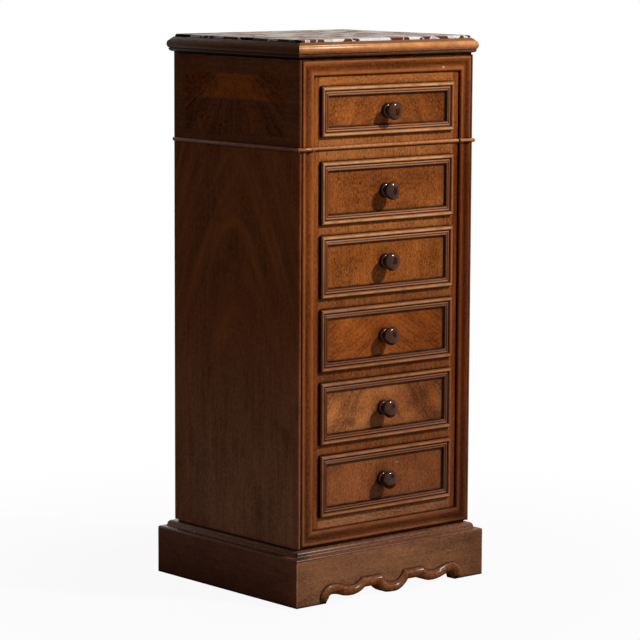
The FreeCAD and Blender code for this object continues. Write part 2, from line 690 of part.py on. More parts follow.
save("side_panel_right", side_panel)
save("side_panel_left", mirrored(side_panel))
save("back_boards", *make_back_boards())
save("bottom_board", make_bottom_board())
save("top_board", box(-side_inner, side_inner, rail_back, back_face,
                      case_top - TOP_THICKNESS, case_top))
save("stile_right", stile)
save("stile_left", mirrored(stile))
save("top_rail", top_rail)
save("bottom_rail", bottom_rail)
save("divider_rails", *dividers)
save("drawer_runners", *make_runners())
save("drawer_guides", *make_guides())
save("drawer_stops", *make_stops())
save("frame_moulding", *frame_lengths)
save("bead_moulding", *make_bead(bead_backing))
save("cornice", *make_cornice())
save("marble_top", make_top_slab())
save("plinth_front", shape_apron(front_board))
save("plinth_right", right_board)
save("plinth_back", back_board)
save("plinth_left", left_board)
save("plinth_moulding", *make_plinth_moulding())
save("corner_blocks", *make_corner_blocks())
save("apron_roll", make_apron_roll())
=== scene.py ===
# %% [markdown]
# # A tall chest of six drawers, dressed over its working drawing
# The solid model of the chest comes in as a fixed frame: every board, moulding
# and drawer is already in its place, in metres, with the floor at z = 0 and the
# front facing -Y. This lesson gives it timber, polish, stone and wear, and
# models again the pieces whose rounding the drawing keeps coarse.

# %% Load the frame
import math
import bpy
from mathutils import Matrix, Vector, noise


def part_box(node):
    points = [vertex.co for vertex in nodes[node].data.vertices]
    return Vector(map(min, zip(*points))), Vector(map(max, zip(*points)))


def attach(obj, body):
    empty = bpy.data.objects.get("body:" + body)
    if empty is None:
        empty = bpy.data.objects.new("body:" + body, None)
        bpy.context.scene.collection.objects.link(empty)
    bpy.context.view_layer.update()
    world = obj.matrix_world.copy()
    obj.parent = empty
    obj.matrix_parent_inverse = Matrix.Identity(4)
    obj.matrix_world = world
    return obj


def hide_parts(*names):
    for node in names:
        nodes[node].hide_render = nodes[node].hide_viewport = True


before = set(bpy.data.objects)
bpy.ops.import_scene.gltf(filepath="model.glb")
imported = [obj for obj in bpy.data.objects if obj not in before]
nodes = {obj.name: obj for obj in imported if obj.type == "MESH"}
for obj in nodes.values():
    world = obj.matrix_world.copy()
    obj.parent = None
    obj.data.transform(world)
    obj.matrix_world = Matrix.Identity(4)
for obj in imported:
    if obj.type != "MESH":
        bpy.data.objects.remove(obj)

DRAWERS = range(1, 7)       # from the top down
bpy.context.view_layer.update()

# %% [markdown]
# ## Camera
# The chest is seen from its front left corner, from a little above, with a long
# lens: upright lines stay upright and the sides hardly taper. A camera can be
# aimed with a constraint or placed by hand; here its three directions are written
# straight into a matrix, so the view never depends on anything else in the scene.

# %% Camera
FOCAL_PIXELS = 2938.0
IMAGE_WIDTH = 640.0
CAMERA_PLACE = (-3.6698, -4.2767, 1.2593)
yaw, pitch, roll = math.radians(40.585), math.radians(-7.681), math.radians(0.252)
forward = Vector((math.sin(yaw) * math.cos(pitch), math.cos(yaw) * math.cos(pitch), math.sin(pitch)))
right = Vector((math.cos(yaw), -math.sin(yaw), 0.0))
up = right.cross(forward)
tilted_right = right * math.cos(roll) + up * math.sin(roll)
tilted_up = up * math.cos(roll) - right * math.sin(roll)
camera_data = bpy.data.cameras.new("camera")
camera_data.sensor_width = 36.0
camera_data.lens = FOCAL_PIXELS * camera_data.sensor_width / IMAGE_WIDTH
camera = bpy.data.objects.new("camera", camera_data)
bpy.context.scene.collection.objects.link(camera)
directions = Matrix((tilted_right, tilted_up, -forward)).transposed()
camera.matrix_world = Matrix.Translation(CAMERA_PLACE) @ directions.to_4x4()
bpy.context.scene.camera = camera
print("lens", round(camera_data.lens, 1), "mm")

# %% [markdown]
# ## A short hand for wiring
# Every finish below is a tree of shader nodes. Adding nodes one by one in code
# is wordy, so a small class keeps the tree and offers the few steps that all
# recipes share: sums, ranges, mixes and noise. A recipe then reads as a list of
# what happens to the colour, in order.

# %% Wiring steps
class Recipe:
    """Adds nodes to one tree and wires them."""

    def __init__(self, tree):
        self.tree = tree

    def feed(self, socket, value):
        if isinstance(value, bpy.types.NodeSocket):
            self.tree.links.new(value, socket)
        elif socket.type == "RGBA":
            socket.default_value = (*value[:3], 1.0)
        else:
            socket.default_value = value

    def node(self, kind, inputs=(), **settings):
        new = self.tree.nodes.new(kind if kind.startswith("NodeGroup") else "ShaderNode" + kind)
        for name, value in settings.items():
            setattr(new, name, value)
        for key, value in dict(inputs).items():
            self.feed(new.inputs[key], value)
        return new

    def math(self, operation, *values):
        return self.node("Math", enumerate(values), operation=operation).outputs[0]

    def vector(self, operation, *values):
        return self.node("VectorMath", enumerate(values), operation=operation).outputs[0]

    def length(self, place):
        return self.node("VectorMath", {0: place}, operation="LENGTH").outputs["Value"]

    def leaned(self, place, degrees):
        """The place turned about the y axis."""
        return self.node("VectorRotate", {"Vector": place, "Angle": math.radians(degrees)},
                         rotation_type="Y_AXIS").outputs[0]

    def span(self, value, low, high, start=0.0, end=1.0):
        """Carry low..high over to start..end, and hold it there beyond."""
        return self.node("MapRange", {0: value, 1: low, 2: high, 3: start, 4: end}).outputs[0]

    def band(self, value, low, high, soft=0.001):
        """1 between two limits and 0 outside them, with a soft edge."""
        return self.math("MULTIPLY", self.span(value, low - soft, low + soft),
                         self.span(value, high + soft, high - soft))

    def mix(self, amount, under, over, blend="MIX"):
        return self.node("Mix", {0: amount, 6: under, 7: over},
                         data_type="RGBA", blend_type=blend).outputs[2]

    def shade(self, amount, colour, tint):
        """The colour multiplied by a tint, as far as amount says."""
        return self.mix(amount, colour, tint, blend="MULTIPLY")

    def noise(self, place, scales, detail=2.0, roughness=0.5, output=0):
        """Noise of one fineness, or with its own fineness along x, y and z."""
        scales = scales if isinstance(scales, tuple) else (scales,) * 3
        stretched = self.vector("MULTIPLY", place, scales)
        return self.node("TexNoise", {"Vector": stretched, "Scale": 1.0, "Detail": detail,
                                      "Roughness": roughness}).outputs[output]

    def split(self, place):
        return self.node("SeparateXYZ", {0: place}).outputs

    def join(self, x, y, z):
        return self.node("CombineXYZ", {0: x, 1: y, 2: z}).outputs[0]


def new_group(name, inputs, outputs):
    """An empty node group with named sockets: its tree, recipe, inputs and output node."""
    tree = bpy.data.node_groups.new(name, "ShaderNodeTree")
    for title, kind, value in inputs:
        socket = tree.interface.new_socket(title, in_out="INPUT", socket_type="NodeSocket" + kind)
        if value is not None:
            socket.default_value = value
    for title, kind in outputs:
        tree.interface.new_socket(title, in_out="OUTPUT", socket_type="NodeSocket" + kind)
    steps = Recipe(tree)
    return tree, steps, steps.node("NodeGroupInput").outputs, steps.node("NodeGroupOutput")

print("wiring steps ready")

# %% [markdown]
# ## Walnut grain
# Walnut has slow clouds of light and dark, long streaks along the grain, short
# flecks, and fine dark pores; small bright specks over the flecks are painted
# glints, a highlight where the polish would catch the fibres. Each is one noise,
# stretched along the grain by its own amount. The grain always runs along the
# group's own third axis, and each piece turns its place to suit, so one group
# serves uprights, rails and mouldings alike.

# %% Grain group
LIT_FIBRE = (1.35, 1.8, 3.0)        # a glint is the light colour times this
PORE_SHADE = (0.3, 0.2, 0.14)

grain_group, steps, given, result = new_group(
    "walnut grain",
    [("Place", "Vector", None), ("Light", "Color", (0.30, 0.10, 0.03, 1)),
     ("Dark", "Color", (0.12, 0.03, 0.01, 1)), ("Clouds", "Float", 0.5), ("Streaks", "Float", 0.5),
     ("Flecks", "Float", 0.5), ("Pores", "Float", 0.5)],
    [("Color", "Color"), ("Height", "Float"), ("Tone", "Float")])
wander = steps.noise(given["Place"], (7.0, 7.0, 4.0), output=1)
bent = steps.vector("MULTIPLY_ADD", wander, (0.03, 0.03, 0.03), given["Place"])
cloud = steps.noise(bent, (18.0, 18.0, 6.5), detail=5.0, roughness=0.62)
streak = steps.noise(bent, (190.0, 190.0, 6.0))
fleck = steps.noise(given["Place"], (300.0, 300.0, 160.0), roughness=0.6)
pore = steps.span(steps.noise(given["Place"], (1300.0, 1300.0, 130.0), detail=0.0), 0.6, 0.72)
# painted glints: small bright specks, a highlight painted into the colour
glint = steps.span(steps.noise(given["Place"], (430.0, 430.0, 330.0), detail=1.0), 0.58, 0.76)
tone = 0.5
for layer, amount in ((cloud, "Clouds"), (streak, "Streaks"), (fleck, "Flecks")):
    centred = steps.math("MULTIPLY_ADD", layer, 4.0, -2.0)
    tone = steps.math("MULTIPLY_ADD", centred, given[amount], tone)
tone = steps.math("MINIMUM", steps.math("MAXIMUM", tone, 0.0), 1.0)
colour = steps.mix(tone, given["Dark"], given["Light"])
pitted = steps.math("MULTIPLY", pore, given["Pores"])
bright = steps.vector("MULTIPLY", given["Light"], LIT_FIBRE)
colour = steps.mix(steps.math("MULTIPLY", glint, given["Flecks"]), colour, bright)
steps.feed(result.inputs["Color"], steps.shade(pitted, colour, PORE_SHADE))
steps.feed(result.inputs["Height"], steps.math("MULTIPLY_ADD", pitted, -0.3, fleck))
steps.feed(result.inputs["Tone"], tone)
print("grain group:", len(grain_group.nodes), "nodes")

# %% [markdown]
# ## Wax and wear
# Old polish is never even. The quirks and the gaps round the drawers are painted
# dark, partly as dark wax and dirt and partly as painted shade where light does
# not reach, and arrises that hands and cloths reach are rubbed lighter. Both
# follow from the shape: ambient occlusion finds the hollows, and the same node
# looking inwards finds the arrises. Noise breaks both up. The group also gives the
# roughness, dull in the wax and where the polish is worn.

# %% Wax, painted shade and wear group
OLD_WAX = (0.0045, 0.0022, 0.0015)
ARRIS_REACH = 0.0016        # how far in from an arris the rubbing goes, in metres

wax_group, steps, given, result = new_group(
    "wax and wear",
    [("Place", "Vector", None), ("Color", "Color", (0.2, 0.1, 0.05, 1)),
     ("Worn", "Color", (0.45, 0.22, 0.11, 1)), ("Wax", "Float", 0.8), ("Reach", "Float", 0.004),
     ("Wear", "Float", 0.5), ("Dullness", "Float", 0.35)],
    [("Color", "Color"), ("Roughness", "Float")])
patch = steps.noise(given["Place"], 55.0, detail=3.0)
smear = steps.noise(given["Place"], 9.0, detail=4.0)
# the hollows are painted dark: partly dark wax, partly painted shade
hollow = steps.node("AmbientOcclusion", {"Distance": given["Reach"]}, samples=8).outputs["AO"]
hollow = steps.math("MULTIPLY_ADD", patch, 0.16, hollow)
waxed = steps.math("MULTIPLY", steps.span(hollow, 0.94, 0.60), given["Wax"])
arris = steps.node("AmbientOcclusion", {"Distance": ARRIS_REACH}, samples=8, inside=True,
                   only_local=True).outputs["AO"]
rubbed = steps.math("MULTIPLY", steps.span(arris, 0.93, 0.62), steps.span(patch, 0.36, 0.6))
rubbed = steps.math("MULTIPLY", rubbed, given["Wear"])
colour = steps.mix(rubbed, given["Color"], given["Worn"])
steps.feed(result.inputs["Color"], steps.mix(waxed, colour, OLD_WAX))
dull = steps.math("MULTIPLY_ADD", smear, 0.16, given["Dullness"])
dull = steps.math("MULTIPLY_ADD", waxed, 0.25, steps.math("SUBTRACT", dull, 0.08))
steps.feed(result.inputs["Roughness"], dull)
print("wax group:", len(wax_group.nodes), "nodes")

# %% [markdown]
# ## Which way the grain runs round a frame
# A mitred frame is four strips, each with its grain along its length. In one mesh
# the strips can only be told apart by where they lie: beyond the mitre line, the
# nearer outer edge decides. One group does this for rings that stand up, such as
# the drawer mouldings, and one for rings that lie flat, such as the plinth's.

# %% Ring groups
def ring_group(name, upright):
    tree, steps, given, result = new_group(
        name, [("Place", "Vector", None), ("Half", "Float", 0.2), ("Low", "Float", 0.0),
               ("High", "Float", 1.0)], [("Place", "Vector"), ("Side", "Float")])
    x, y, z = steps.split(given["Place"])
    other, plain = (z, y) if upright else (y, z)
    to_side = steps.math("SUBTRACT", given["Half"], steps.math("ABSOLUTE", x))
    to_end = steps.math("MINIMUM", steps.math("SUBTRACT", other, given["Low"]),
                        steps.math("SUBTRACT", given["High"], other))
    on_side = steps.math("LESS_THAN", to_side, to_end)
    along_side = steps.join(x, plain, other)
    along_end = steps.join(other, plain, x)
    picked = steps.node("Mix", {0: on_side, 4: along_end, 5: along_side}, data_type="VECTOR").outputs[1]
    steps.feed(result.inputs["Place"], picked)
    steps.feed(result.inputs["Side"], on_side)
    return tree

standing_ring = ring_group("standing ring", True)
lying_ring = ring_group("lying ring", False)
print("ring groups ready")

# %% [markdown]
# ## Making a polished finish
# A finish starts from the piece's own place, colours it, and ends in the same
# way each time: wax and painted shade in the hollows and wear over the colour, a
# fine bump, and the gloss of the polish on the shader's own sockets. The two
# halves are kept apart so that a finish can do anything it likes in between.

# %% Start and end of a finish
def start_finish(name):
    """A new material: itself, its recipe and the place on the piece."""
    material = bpy.data.materials.new(name)
    material.use_nodes = True
    steps = Recipe(material.node_tree)
    return material, steps, steps.node("TexCoord").outputs["Object"]


def end_finish(steps, place, colour, height, wax=0.9, reach=0.004, wear=0.5, dullness=0.36,
               worn=(0.42, 0.19, 0.085), relief=0.0001, specular=0.05, coat=0.0, coat_roughness=0.22):
    """Wax with painted shade in the hollows, wear, bump and gloss. Reach and relief are in metres; the wax
    and the wear are shares.
    """
    cover = steps.node("Group", dict(Place=place, Color=colour, Worn=worn, Wax=wax, Reach=reach,
                                     Wear=wear, Dullness=dullness), node_tree=wax_group).outputs
    bump = steps.node("Bump", {"Height": height, "Strength": 0.5, "Distance": relief})
    shader = steps.tree.nodes["Principled BSDF"]
    steps.feed(shader.inputs["Base Color"], cover["Color"])
    steps.feed(shader.inputs["Roughness"], cover["Roughness"])
    steps.feed(shader.inputs["Normal"], bump.outputs[0])
    shader.inputs["Specular IOR Level"].default_value = specular
    steps.feed(shader.inputs["Coat Weight"], coat)
    shader.inputs["Coat Roughness"].default_value = coat_roughness


def dress(material, *names):
    """Put a material on pieces of the drawing."""
    for name in names:
        slots = nodes[name].data.materials
        slots.clear()
        slots.append(material)

print("a finish can start and end")

# %% [markdown]
# ## Laying the grain
# A board's grain follows its length, so the place is turned until that length is
# the third axis, and it is moved so that each board is cut from its own stretch
# of the timber. A texture image would need unwrapped faces; a place in space
# needs none, and the end of a board then shows the same fibres as its face.

# %% Grain along a board
def along(steps, place, run, shift):
    """The place on fresh timber, with the grain's direction, x, y or z, as its third axis."""
    moved = steps.vector("ADD", place, shift)
    if run == "z":
        return moved
    x, y, z = steps.split(moved)
    return steps.join(z, y, x) if run == "x" else steps.join(x, z, y)


def grain(steps, place, light, dark, clouds=0.35, streaks=0.3, flecks=0.3, pores=0.5):
    """The outputs of the grain group: Color, Height and Tone."""
    return steps.node("Group", dict(Place=place, Light=light, Dark=dark, Clouds=clouds, Streaks=streaks,
                                    Flecks=flecks, Pores=pores), node_tree=grain_group).outputs

print("grain can be laid")

# %% [markdown]
# ## Marks, and painted shade
# The front is painted darker low down, as shade where less light falls, and
# darker at its right edge. Single dents and spots lie on top, among them a few
# painted highlights and shadows. They could be drawn by hand on an image; a mark
# that is a centre, a size and a ragged noise stays sharp at any distance.

# %% Marks and painted shade
def marked(steps, place, colour, marks):
    """Small marks, some of them painted highlights and shadows: each is (centre, half sizes, colour,
    strength), with a ragged edge.
    """
    ragged = steps.noise(place, 260.0, detail=3.0)
    for centre, sizes, tint, strength in marks:
        away = steps.length(steps.vector("DIVIDE", steps.vector("SUBTRACT", place, centre), sizes))
        away = steps.math("MULTIPLY_ADD", ragged, 1.6, away)
        colour = steps.mix(steps.span(away, 2.0, 1.3, 0.0, strength), colour, tint)
    return colour


def darkened(steps, place, colour, low, side):
    """Painted shade towards the front's foot, and a darker right edge: low and side say how much."""
    x, y, z = steps.split(place)
    downwards = steps.span(z, 0.70, 0.50, 0.0, low)
    sideways = steps.math("MULTIPLY", steps.span(x, 0.10, 0.185, 0.0, side),
                          steps.span(z, 0.98, 0.80, 0.15, 1.0))
    return steps.shade(steps.math("MAXIMUM", downwards, sideways), colour, (0.45, 0.34, 0.28))

print("marks ready")

# %% [markdown]
# ## Field veneers
# The stiles and rails between the drawers are veneered with the grain upright,
# in straight lengths that shade from orange to brown; the rails above and below
# have theirs lengthwise. Each gets its own stretch of grain, so no two
# neighbours match.

# %% Stiles and rails
def straight_veneer(name, light, dark, run, shift, age, **amounts):
    material, steps, place = start_finish(name)
    wood = grain(steps, along(steps, place, run, shift), light, dark, **amounts)
    colour = darkened(steps, place, wood["Color"], *age)
    end_finish(steps, place, colour, wood["Height"], wax=1.0, reach=0.007)
    return material

dress(straight_veneer("stile veneer", (0.40, 0.110, 0.020), (0.13, 0.028, 0.005), "z", (3.1, 0.4, 7.7),
                      (0.6, 1.0), clouds=0.3, streaks=0.36, flecks=0.34), "stile_left", "stile_right")
dress(straight_veneer("rail veneer", (0.45, 0.148, 0.036), (0.14, 0.036, 0.006), "z", (1.7, 2.2, 5.3),
                      (0.75, 0.5), clouds=0.35, streaks=0.2, flecks=0.5), "divider_rails")
dress(straight_veneer("foot rail veneer", (0.34, 0.130, 0.050), (0.12, 0.036, 0.012), "x", (2.6, 3.1, 8.2),
                      (0.0, 0.7), clouds=0.4, streaks=0.2, flecks=0.5), "bottom_rail")
dress(straight_veneer("top rail veneer", (0.50, 0.165, 0.036), (0.19, 0.050, 0.010), "x", (8.4, 1.1, 2.9),
                      (0.0, 0.3), clouds=0.35, streaks=0.14, flecks=0.45), "top_rail")
print("field veneers on 5 pieces")

# %% [markdown]
# ## Drawer fronts
# Each front is faced with two leaves of one flitch, opened like a book about the
# middle, so the figure leans the same way on both sides. Mirroring the place
# about x = 0 gives the book match, and leaning it turns straight grain into
# feathers. Broad clouds of orange and brown lie over that, with a dark halo
# where hands have been round the knob. The six fronts share the recipe and
# differ in lean, tone and stretch of grain.

# %% What each front is like
FACE_Y = -0.1834        # where the drawers' faces stand
KNOB_PLACES = {1: (-0.0005, 0.9143), 2: (-0.0044, 0.7652), 3: (-0.0038, 0.6314),
               4: (-0.0041, 0.4906), 5: (-0.0059, 0.3525), 6: (-0.0059, 0.2160)}
FRONTS = {          # light, dark, lean in degrees, clouds, streaks, flecks, darkening to the right
    1: ((0.43, 0.121, 0.023), (0.075, 0.016, 0.003), 25, 0.40, 0.10, 0.50, 0.45),
    2: ((0.42, 0.118, 0.022), (0.080, 0.018, 0.003), 3, 0.34, 0.12, 0.46, 0.0),
    3: ((0.43, 0.124, 0.022), (0.090, 0.020, 0.003), 0, 0.20, 0.14, 0.46, 0.0),
    4: ((0.43, 0.112, 0.017), (0.085, 0.016, 0.002), 58, 0.42, 0.22, 0.36, 0.6),
    5: ((0.52, 0.175, 0.048), (0.060, 0.016, 0.005), 38, 0.62, 0.16, 0.34, 0.75),
    6: ((0.36, 0.110, 0.031), (0.080, 0.021, 0.006), 8, 0.36, 0.14, 0.40, 0.45)}
FRONT_MARKS = {     # x and z of the middle, half width and height, colour, strength
    1: [(-0.060, 0.905, 0.006, 0.003, (0.20, 0.06, 0.02), 0.6)],
    2: [(-0.0667, 0.7804, 0.0030, 0.0016, (0.03, 0.008, 0.003), 0.9),
        (0.010, 0.7740, 0.125, 0.0006, (0.06, 0.018, 0.006), 0.7)],
    3: [(-0.0754, 0.6229, 0.0034, 0.0026, (0.03, 0.008, 0.003), 0.9)],
    4: [(0.075, 0.472, 0.004, 0.002, (0.05, 0.014, 0.005), 0.7)],
    5: [(-0.085, 0.332, 0.016, 0.010, (0.075, 0.024, 0.010), 0.6)],
    6: [(0.032, 0.243, 0.004, 0.002, (0.40, 0.20, 0.10), 0.6)]}
print(len(FRONTS), "fronts,", sum(len(marks) for marks in FRONT_MARKS.values()), "marks")

# %% [markdown]
# ## Laying a book-matched front
# The layers go on in the order in which the real front got them: the matched
# grain, stains in the wood, the halo of hands round the knob, the darkening to
# the right, and single marks last.

# %% Front veneers
STAIN = (0.45, 0.36, 0.34)
HAND_HALO = (0.5, 0.42, 0.40)
RIGHT_SHADE = (0.45, 0.36, 0.30)
HALO_RISE = 0.006       # hands darken the wood a little above the knob's middle


def front_veneer(number, light, dark, lean, clouds, streaks, flecks, to_right):
    shift = (1.93 * number, 0.0, 2.71 * number)
    material, steps, place = start_finish("front veneer %d" % number)
    x, y, z = steps.split(place)
    knob_x, knob_z = KNOB_PLACES[number]
    leaf = steps.join(steps.math("ABSOLUTE", x), y, steps.math("SUBTRACT", z, knob_z))
    wood = grain(steps, steps.vector("ADD", steps.leaned(leaf, lean), shift), light, dark,
                 clouds, streaks, flecks, pores=0.12)
    stain = steps.noise(steps.vector("ADD", place, shift), (14.0, 14.0, 22.0), detail=3.0)
    colour = steps.shade(steps.span(stain, 0.42, 0.72, 0.0, 0.55), wood["Color"], STAIN)
    from_knob = steps.vector("SUBTRACT", place, (knob_x, 0.0, knob_z + HALO_RISE))
    near = steps.length(steps.vector("MULTIPLY", from_knob, (1.0, 0.0, 1.0)))
    colour = steps.shade(steps.span(near, 0.034, 0.015, 0.0, 0.5), colour, HAND_HALO)
    colour = steps.shade(steps.span(x, 0.0, 0.08, 0.0, to_right), colour, RIGHT_SHADE)
    marks = [((mark_x, FACE_Y, mark_z), (half_width, 1, half_height), tint, strength)
             for mark_x, mark_z, half_width, half_height, tint, strength in FRONT_MARKS[number]]
    colour = marked(steps, place, colour, marks)
    end_finish(steps, place, colour, wood["Height"], reach=0.008, wax=1.0)
    return material

for number, look in FRONTS.items():
    dress(front_veneer(number, *look), "drawer_%d_front" % number)
print(len(FRONTS), "drawer fronts")

# %% [markdown]
# ## Leaves of a side
# Each side is laid out in leaves, and how the place is bent before the grain
# tells them apart. The tall leaf has the soft pointed flames of crown-cut walnut:
# grain measured along arches, greyer towards the floor. The fan's grain follows
# lines through one point above it, the figured leaf is book-matched feather, like
# the fronts, and the strip's grain simply runs from front to back.

# %% Leaves of a side
FAN_CENTRE = 1.02       # height that the fan's streaks run out from


def tall_leaf(steps, place):
    """The tall leaf's grain outputs and its colour with flames and grey foot."""
    x, y, z = steps.split(place)
    wood = grain(steps, steps.join(y, x, z), (0.205, 0.058, 0.017), (0.080, 0.022, 0.0078),
                 clouds=0.30, streaks=0.22, flecks=0.35, pores=0.6)
    arch = steps.math("MULTIPLY", steps.math("POWER", steps.math("ABSOLUTE", y), 1.6), 5.2)
    flames = steps.noise(steps.join(steps.math("ADD", z, arch), y, 0.0), (16.0, 6.0, 1.0))
    flames = steps.math("MULTIPLY", steps.span(flames, 0.46, 0.66), steps.span(z, 0.30, 0.66))
    colour = steps.mix(flames, wood["Color"], (0.205, 0.060, 0.016))
    foot = steps.mix(wood["Tone"], (0.116, 0.041, 0.022), (0.286, 0.118, 0.062))
    return wood, steps.mix(steps.span(z, 0.52, 0.16), colour, foot)


def fan_leaf(steps, place):
    x, y, z = steps.split(place)
    angle = steps.math("ARCTAN2", y, steps.math("SUBTRACT", FAN_CENTRE, z))
    return grain(steps, steps.join(steps.math("MULTIPLY", angle, 0.11), 0.0, z),
                 (0.185, 0.050, 0.016), (0.048, 0.013, 0.005), clouds=0.3, streaks=0.36, flecks=0.42)["Color"]


def figured_leaf(steps, place):
    x, y, z = steps.split(place)
    feather = steps.leaned(steps.join(steps.math("ABSOLUTE", y), x, z), 52)
    return grain(steps, feather, (0.279, 0.070, 0.012), (0.085, 0.019, 0.0047),
                 clouds=0.6, streaks=0.2, flecks=0.45)["Color"]


def strip_leaf(steps, place):
    x, y, z = steps.split(place)
    return grain(steps, steps.join(z, x, y), (0.178, 0.053, 0.019), (0.078, 0.023, 0.0093),
                 clouds=0.3, streaks=0.3, flecks=0.3)["Color"]

print("four kinds of leaf")

# %% [markdown]
# ## Side veneers
# The tall leaf ends at the bead. Above it come a dark strip, the fan, a line and
# the lighter figured leaf, all inside a narrow border, and the border goes on
# down the tall leaf's edges, where it has faded. The joints are softened by a
# noise of a few millimetres, because such veneers were cut and laid by hand.

# %% Side veneers
STRIP = (0.850, 1.02)           # heights of the leaves, in metres
FAN = (0.8735, 0.9375)
FIGURED = (0.9395, 0.9855)
LEAF_DEPTH = (-0.146, 0.154)    # where the upper leaves lie from front to back
TALL_DEPTH = (-0.170, 0.150)
BLOT = (0.35, 0.3, 0.3)


def side_veneer():
    material, steps, place = start_finish("side veneer")
    x, y, z = steps.split(place)
    wood, colour = tall_leaf(steps, place)
    ragged = steps.math("MULTIPLY_ADD", steps.noise(place, (1.0, 60.0, 60.0)), 0.008, z)
    inside = steps.band(y, *LEAF_DEPTH, 0.008)
    colour = steps.mix(steps.band(ragged, *STRIP), colour, strip_leaf(steps, place))
    colour = steps.mix(steps.math("MULTIPLY", steps.band(ragged, *FAN), inside), colour,
                       fan_leaf(steps, place))
    colour = steps.mix(steps.math("MULTIPLY", steps.band(ragged, *FIGURED, 0.0025), inside), colour,
                       figured_leaf(steps, place))
    border = steps.math("SUBTRACT", 1.0, steps.band(y, *TALL_DEPTH, 0.003))
    faded = steps.mix(wood["Tone"], (0.130, 0.040, 0.018), (0.240, 0.080, 0.034))
    colour = steps.mix(steps.math("MULTIPLY", border, steps.span(z, 0.55, 0.40, 0.0, 0.7)), colour, faded)
    blot = steps.noise(place, (1.0, 17.0, 13.0), detail=4.0, roughness=0.6)
    colour = steps.shade(steps.span(blot, 0.56, 0.80, 0.0, 0.75), colour, BLOT)
    end_finish(steps, place, colour, wood["Height"], wax=0.9, wear=0.35, dullness=0.42, specular=0.01,
               worn=(0.403, 0.171, 0.085))
    return material

dress(side_veneer(), "side_panel_left", "side_panel_right")
print("side veneers on 2 pieces")

# %% [markdown]
# ## Plinth boards
# The plinth is plain, knocked by feet and brooms: greyer and duller than the
# case, mottled, and darkest along the floor, with dirt and painted contact shade.
# Its boards have their grain lengthwise; the side boards are painted darker than
# the front, as shade, and the front board is darker at its right end. One noise
# makes both the scuffs and the uneven dark line of dirt and shade along the floor.

# %% Plinth boards
FLOOR_DIRT = (0.02, 0.01, 0.007)
END_SHADE = (0.45, 0.42, 0.42)


def plinth_board(name, run, light, dark, worn, right_end=0.0):
    material, steps, place = start_finish(name)
    wood = grain(steps, along(steps, place, run, (2.3, 0.9, 4.1)), light, dark,
                 clouds=0.42, streaks=0.14, flecks=0.34, pores=0.2)
    x, y, z = steps.split(place)
    scuff = steps.noise(place, (30.0, 30.0, 45.0), detail=5.0, roughness=0.65)
    colour = steps.mix(steps.span(scuff, 0.50, 0.75, 0.0, 0.6), wood["Color"], dark)
    if right_end:
        colour = steps.shade(steps.span(x, 0.13, 0.21, 0.0, right_end), colour, END_SHADE)
    # painted contact shade and dirt: a dark, uneven band along the floor
    foot = steps.math("MULTIPLY_ADD", scuff, 0.008, steps.math("SUBTRACT", z, 0.004))
    colour = steps.mix(steps.span(foot, 0.005, 0.0, 0.0, 0.8), colour, FLOOR_DIRT)
    end_finish(steps, place, colour, wood["Height"], wear=0.45, reach=0.006, wax=1.0, dullness=0.46,
               specular=0.05, worn=worn)
    return material

dress(plinth_board("plinth front wood", "x", (0.29, 0.118, 0.050), (0.095, 0.039, 0.018),
                   (0.45, 0.26, 0.17), right_end=0.7), "plinth_front")
# the side boards' darker colours are painted shade: the sides stand out of the lamp
dress(plinth_board("plinth side wood", "y", (0.165, 0.052, 0.022), (0.050, 0.015, 0.007),
                   (0.22, 0.11, 0.07)), "plinth_left", "plinth_right")
print("plinth boards on 3 pieces")

# %% [markdown]
# ## Mitred mouldings
# Every moulding round a front or round the case is one section carried round a
# rectangle and mitred at its corners. A section is written as a plane iron is
# drawn: flats, and arcs named by a middle and an end, with the distance in from
# the outer edge first and the height second, both as shares of the moulding's
# width and height. So a section can be read at a glance and made any size.

# %% Reading a section
def along_arc(start, middle, end, count=9):
    """Points on the arc from start through middle to end, without the start."""
    (ax, ay), (bx, by), (cx, cy) = start, middle, end
    twice = 2 * (ax * (by - cy) + bx * (cy - ay) + cx * (ay - by))
    a2, b2, c2 = ax * ax + ay * ay, bx * bx + by * by, cx * cx + cy * cy
    ox = (a2 * (by - cy) + b2 * (cy - ay) + c2 * (ay - by)) / twice
    oy = (a2 * (cx - bx) + b2 * (ax - cx) + c2 * (bx - ax)) / twice
    radius = math.hypot(ax - ox, ay - oy)
    first, mid, last = (math.atan2(y - oy, x - ox) for x, y in (start, middle, end))
    to_mid, to_last = (mid - first) % math.tau, (last - first) % math.tau
    sweep = to_last if to_mid < to_last else to_last - math.tau
    angles = [first + sweep * i / count for i in range(1, count + 1)]
    return [(ox + radius * math.cos(a), oy + radius * math.sin(a)) for a in angles]


def read_section(width, height, *steps):
    """Steps in shares of width and height, as points in millimetres."""
    points = []
    for step in steps:
        if isinstance(step[0], tuple):
            middle, end = ((a * width, b * height) for a, b in step)
            points += along_arc(points[-1], middle, end)
        else:
            points.append((step[0] * width, step[1] * height))
    return points

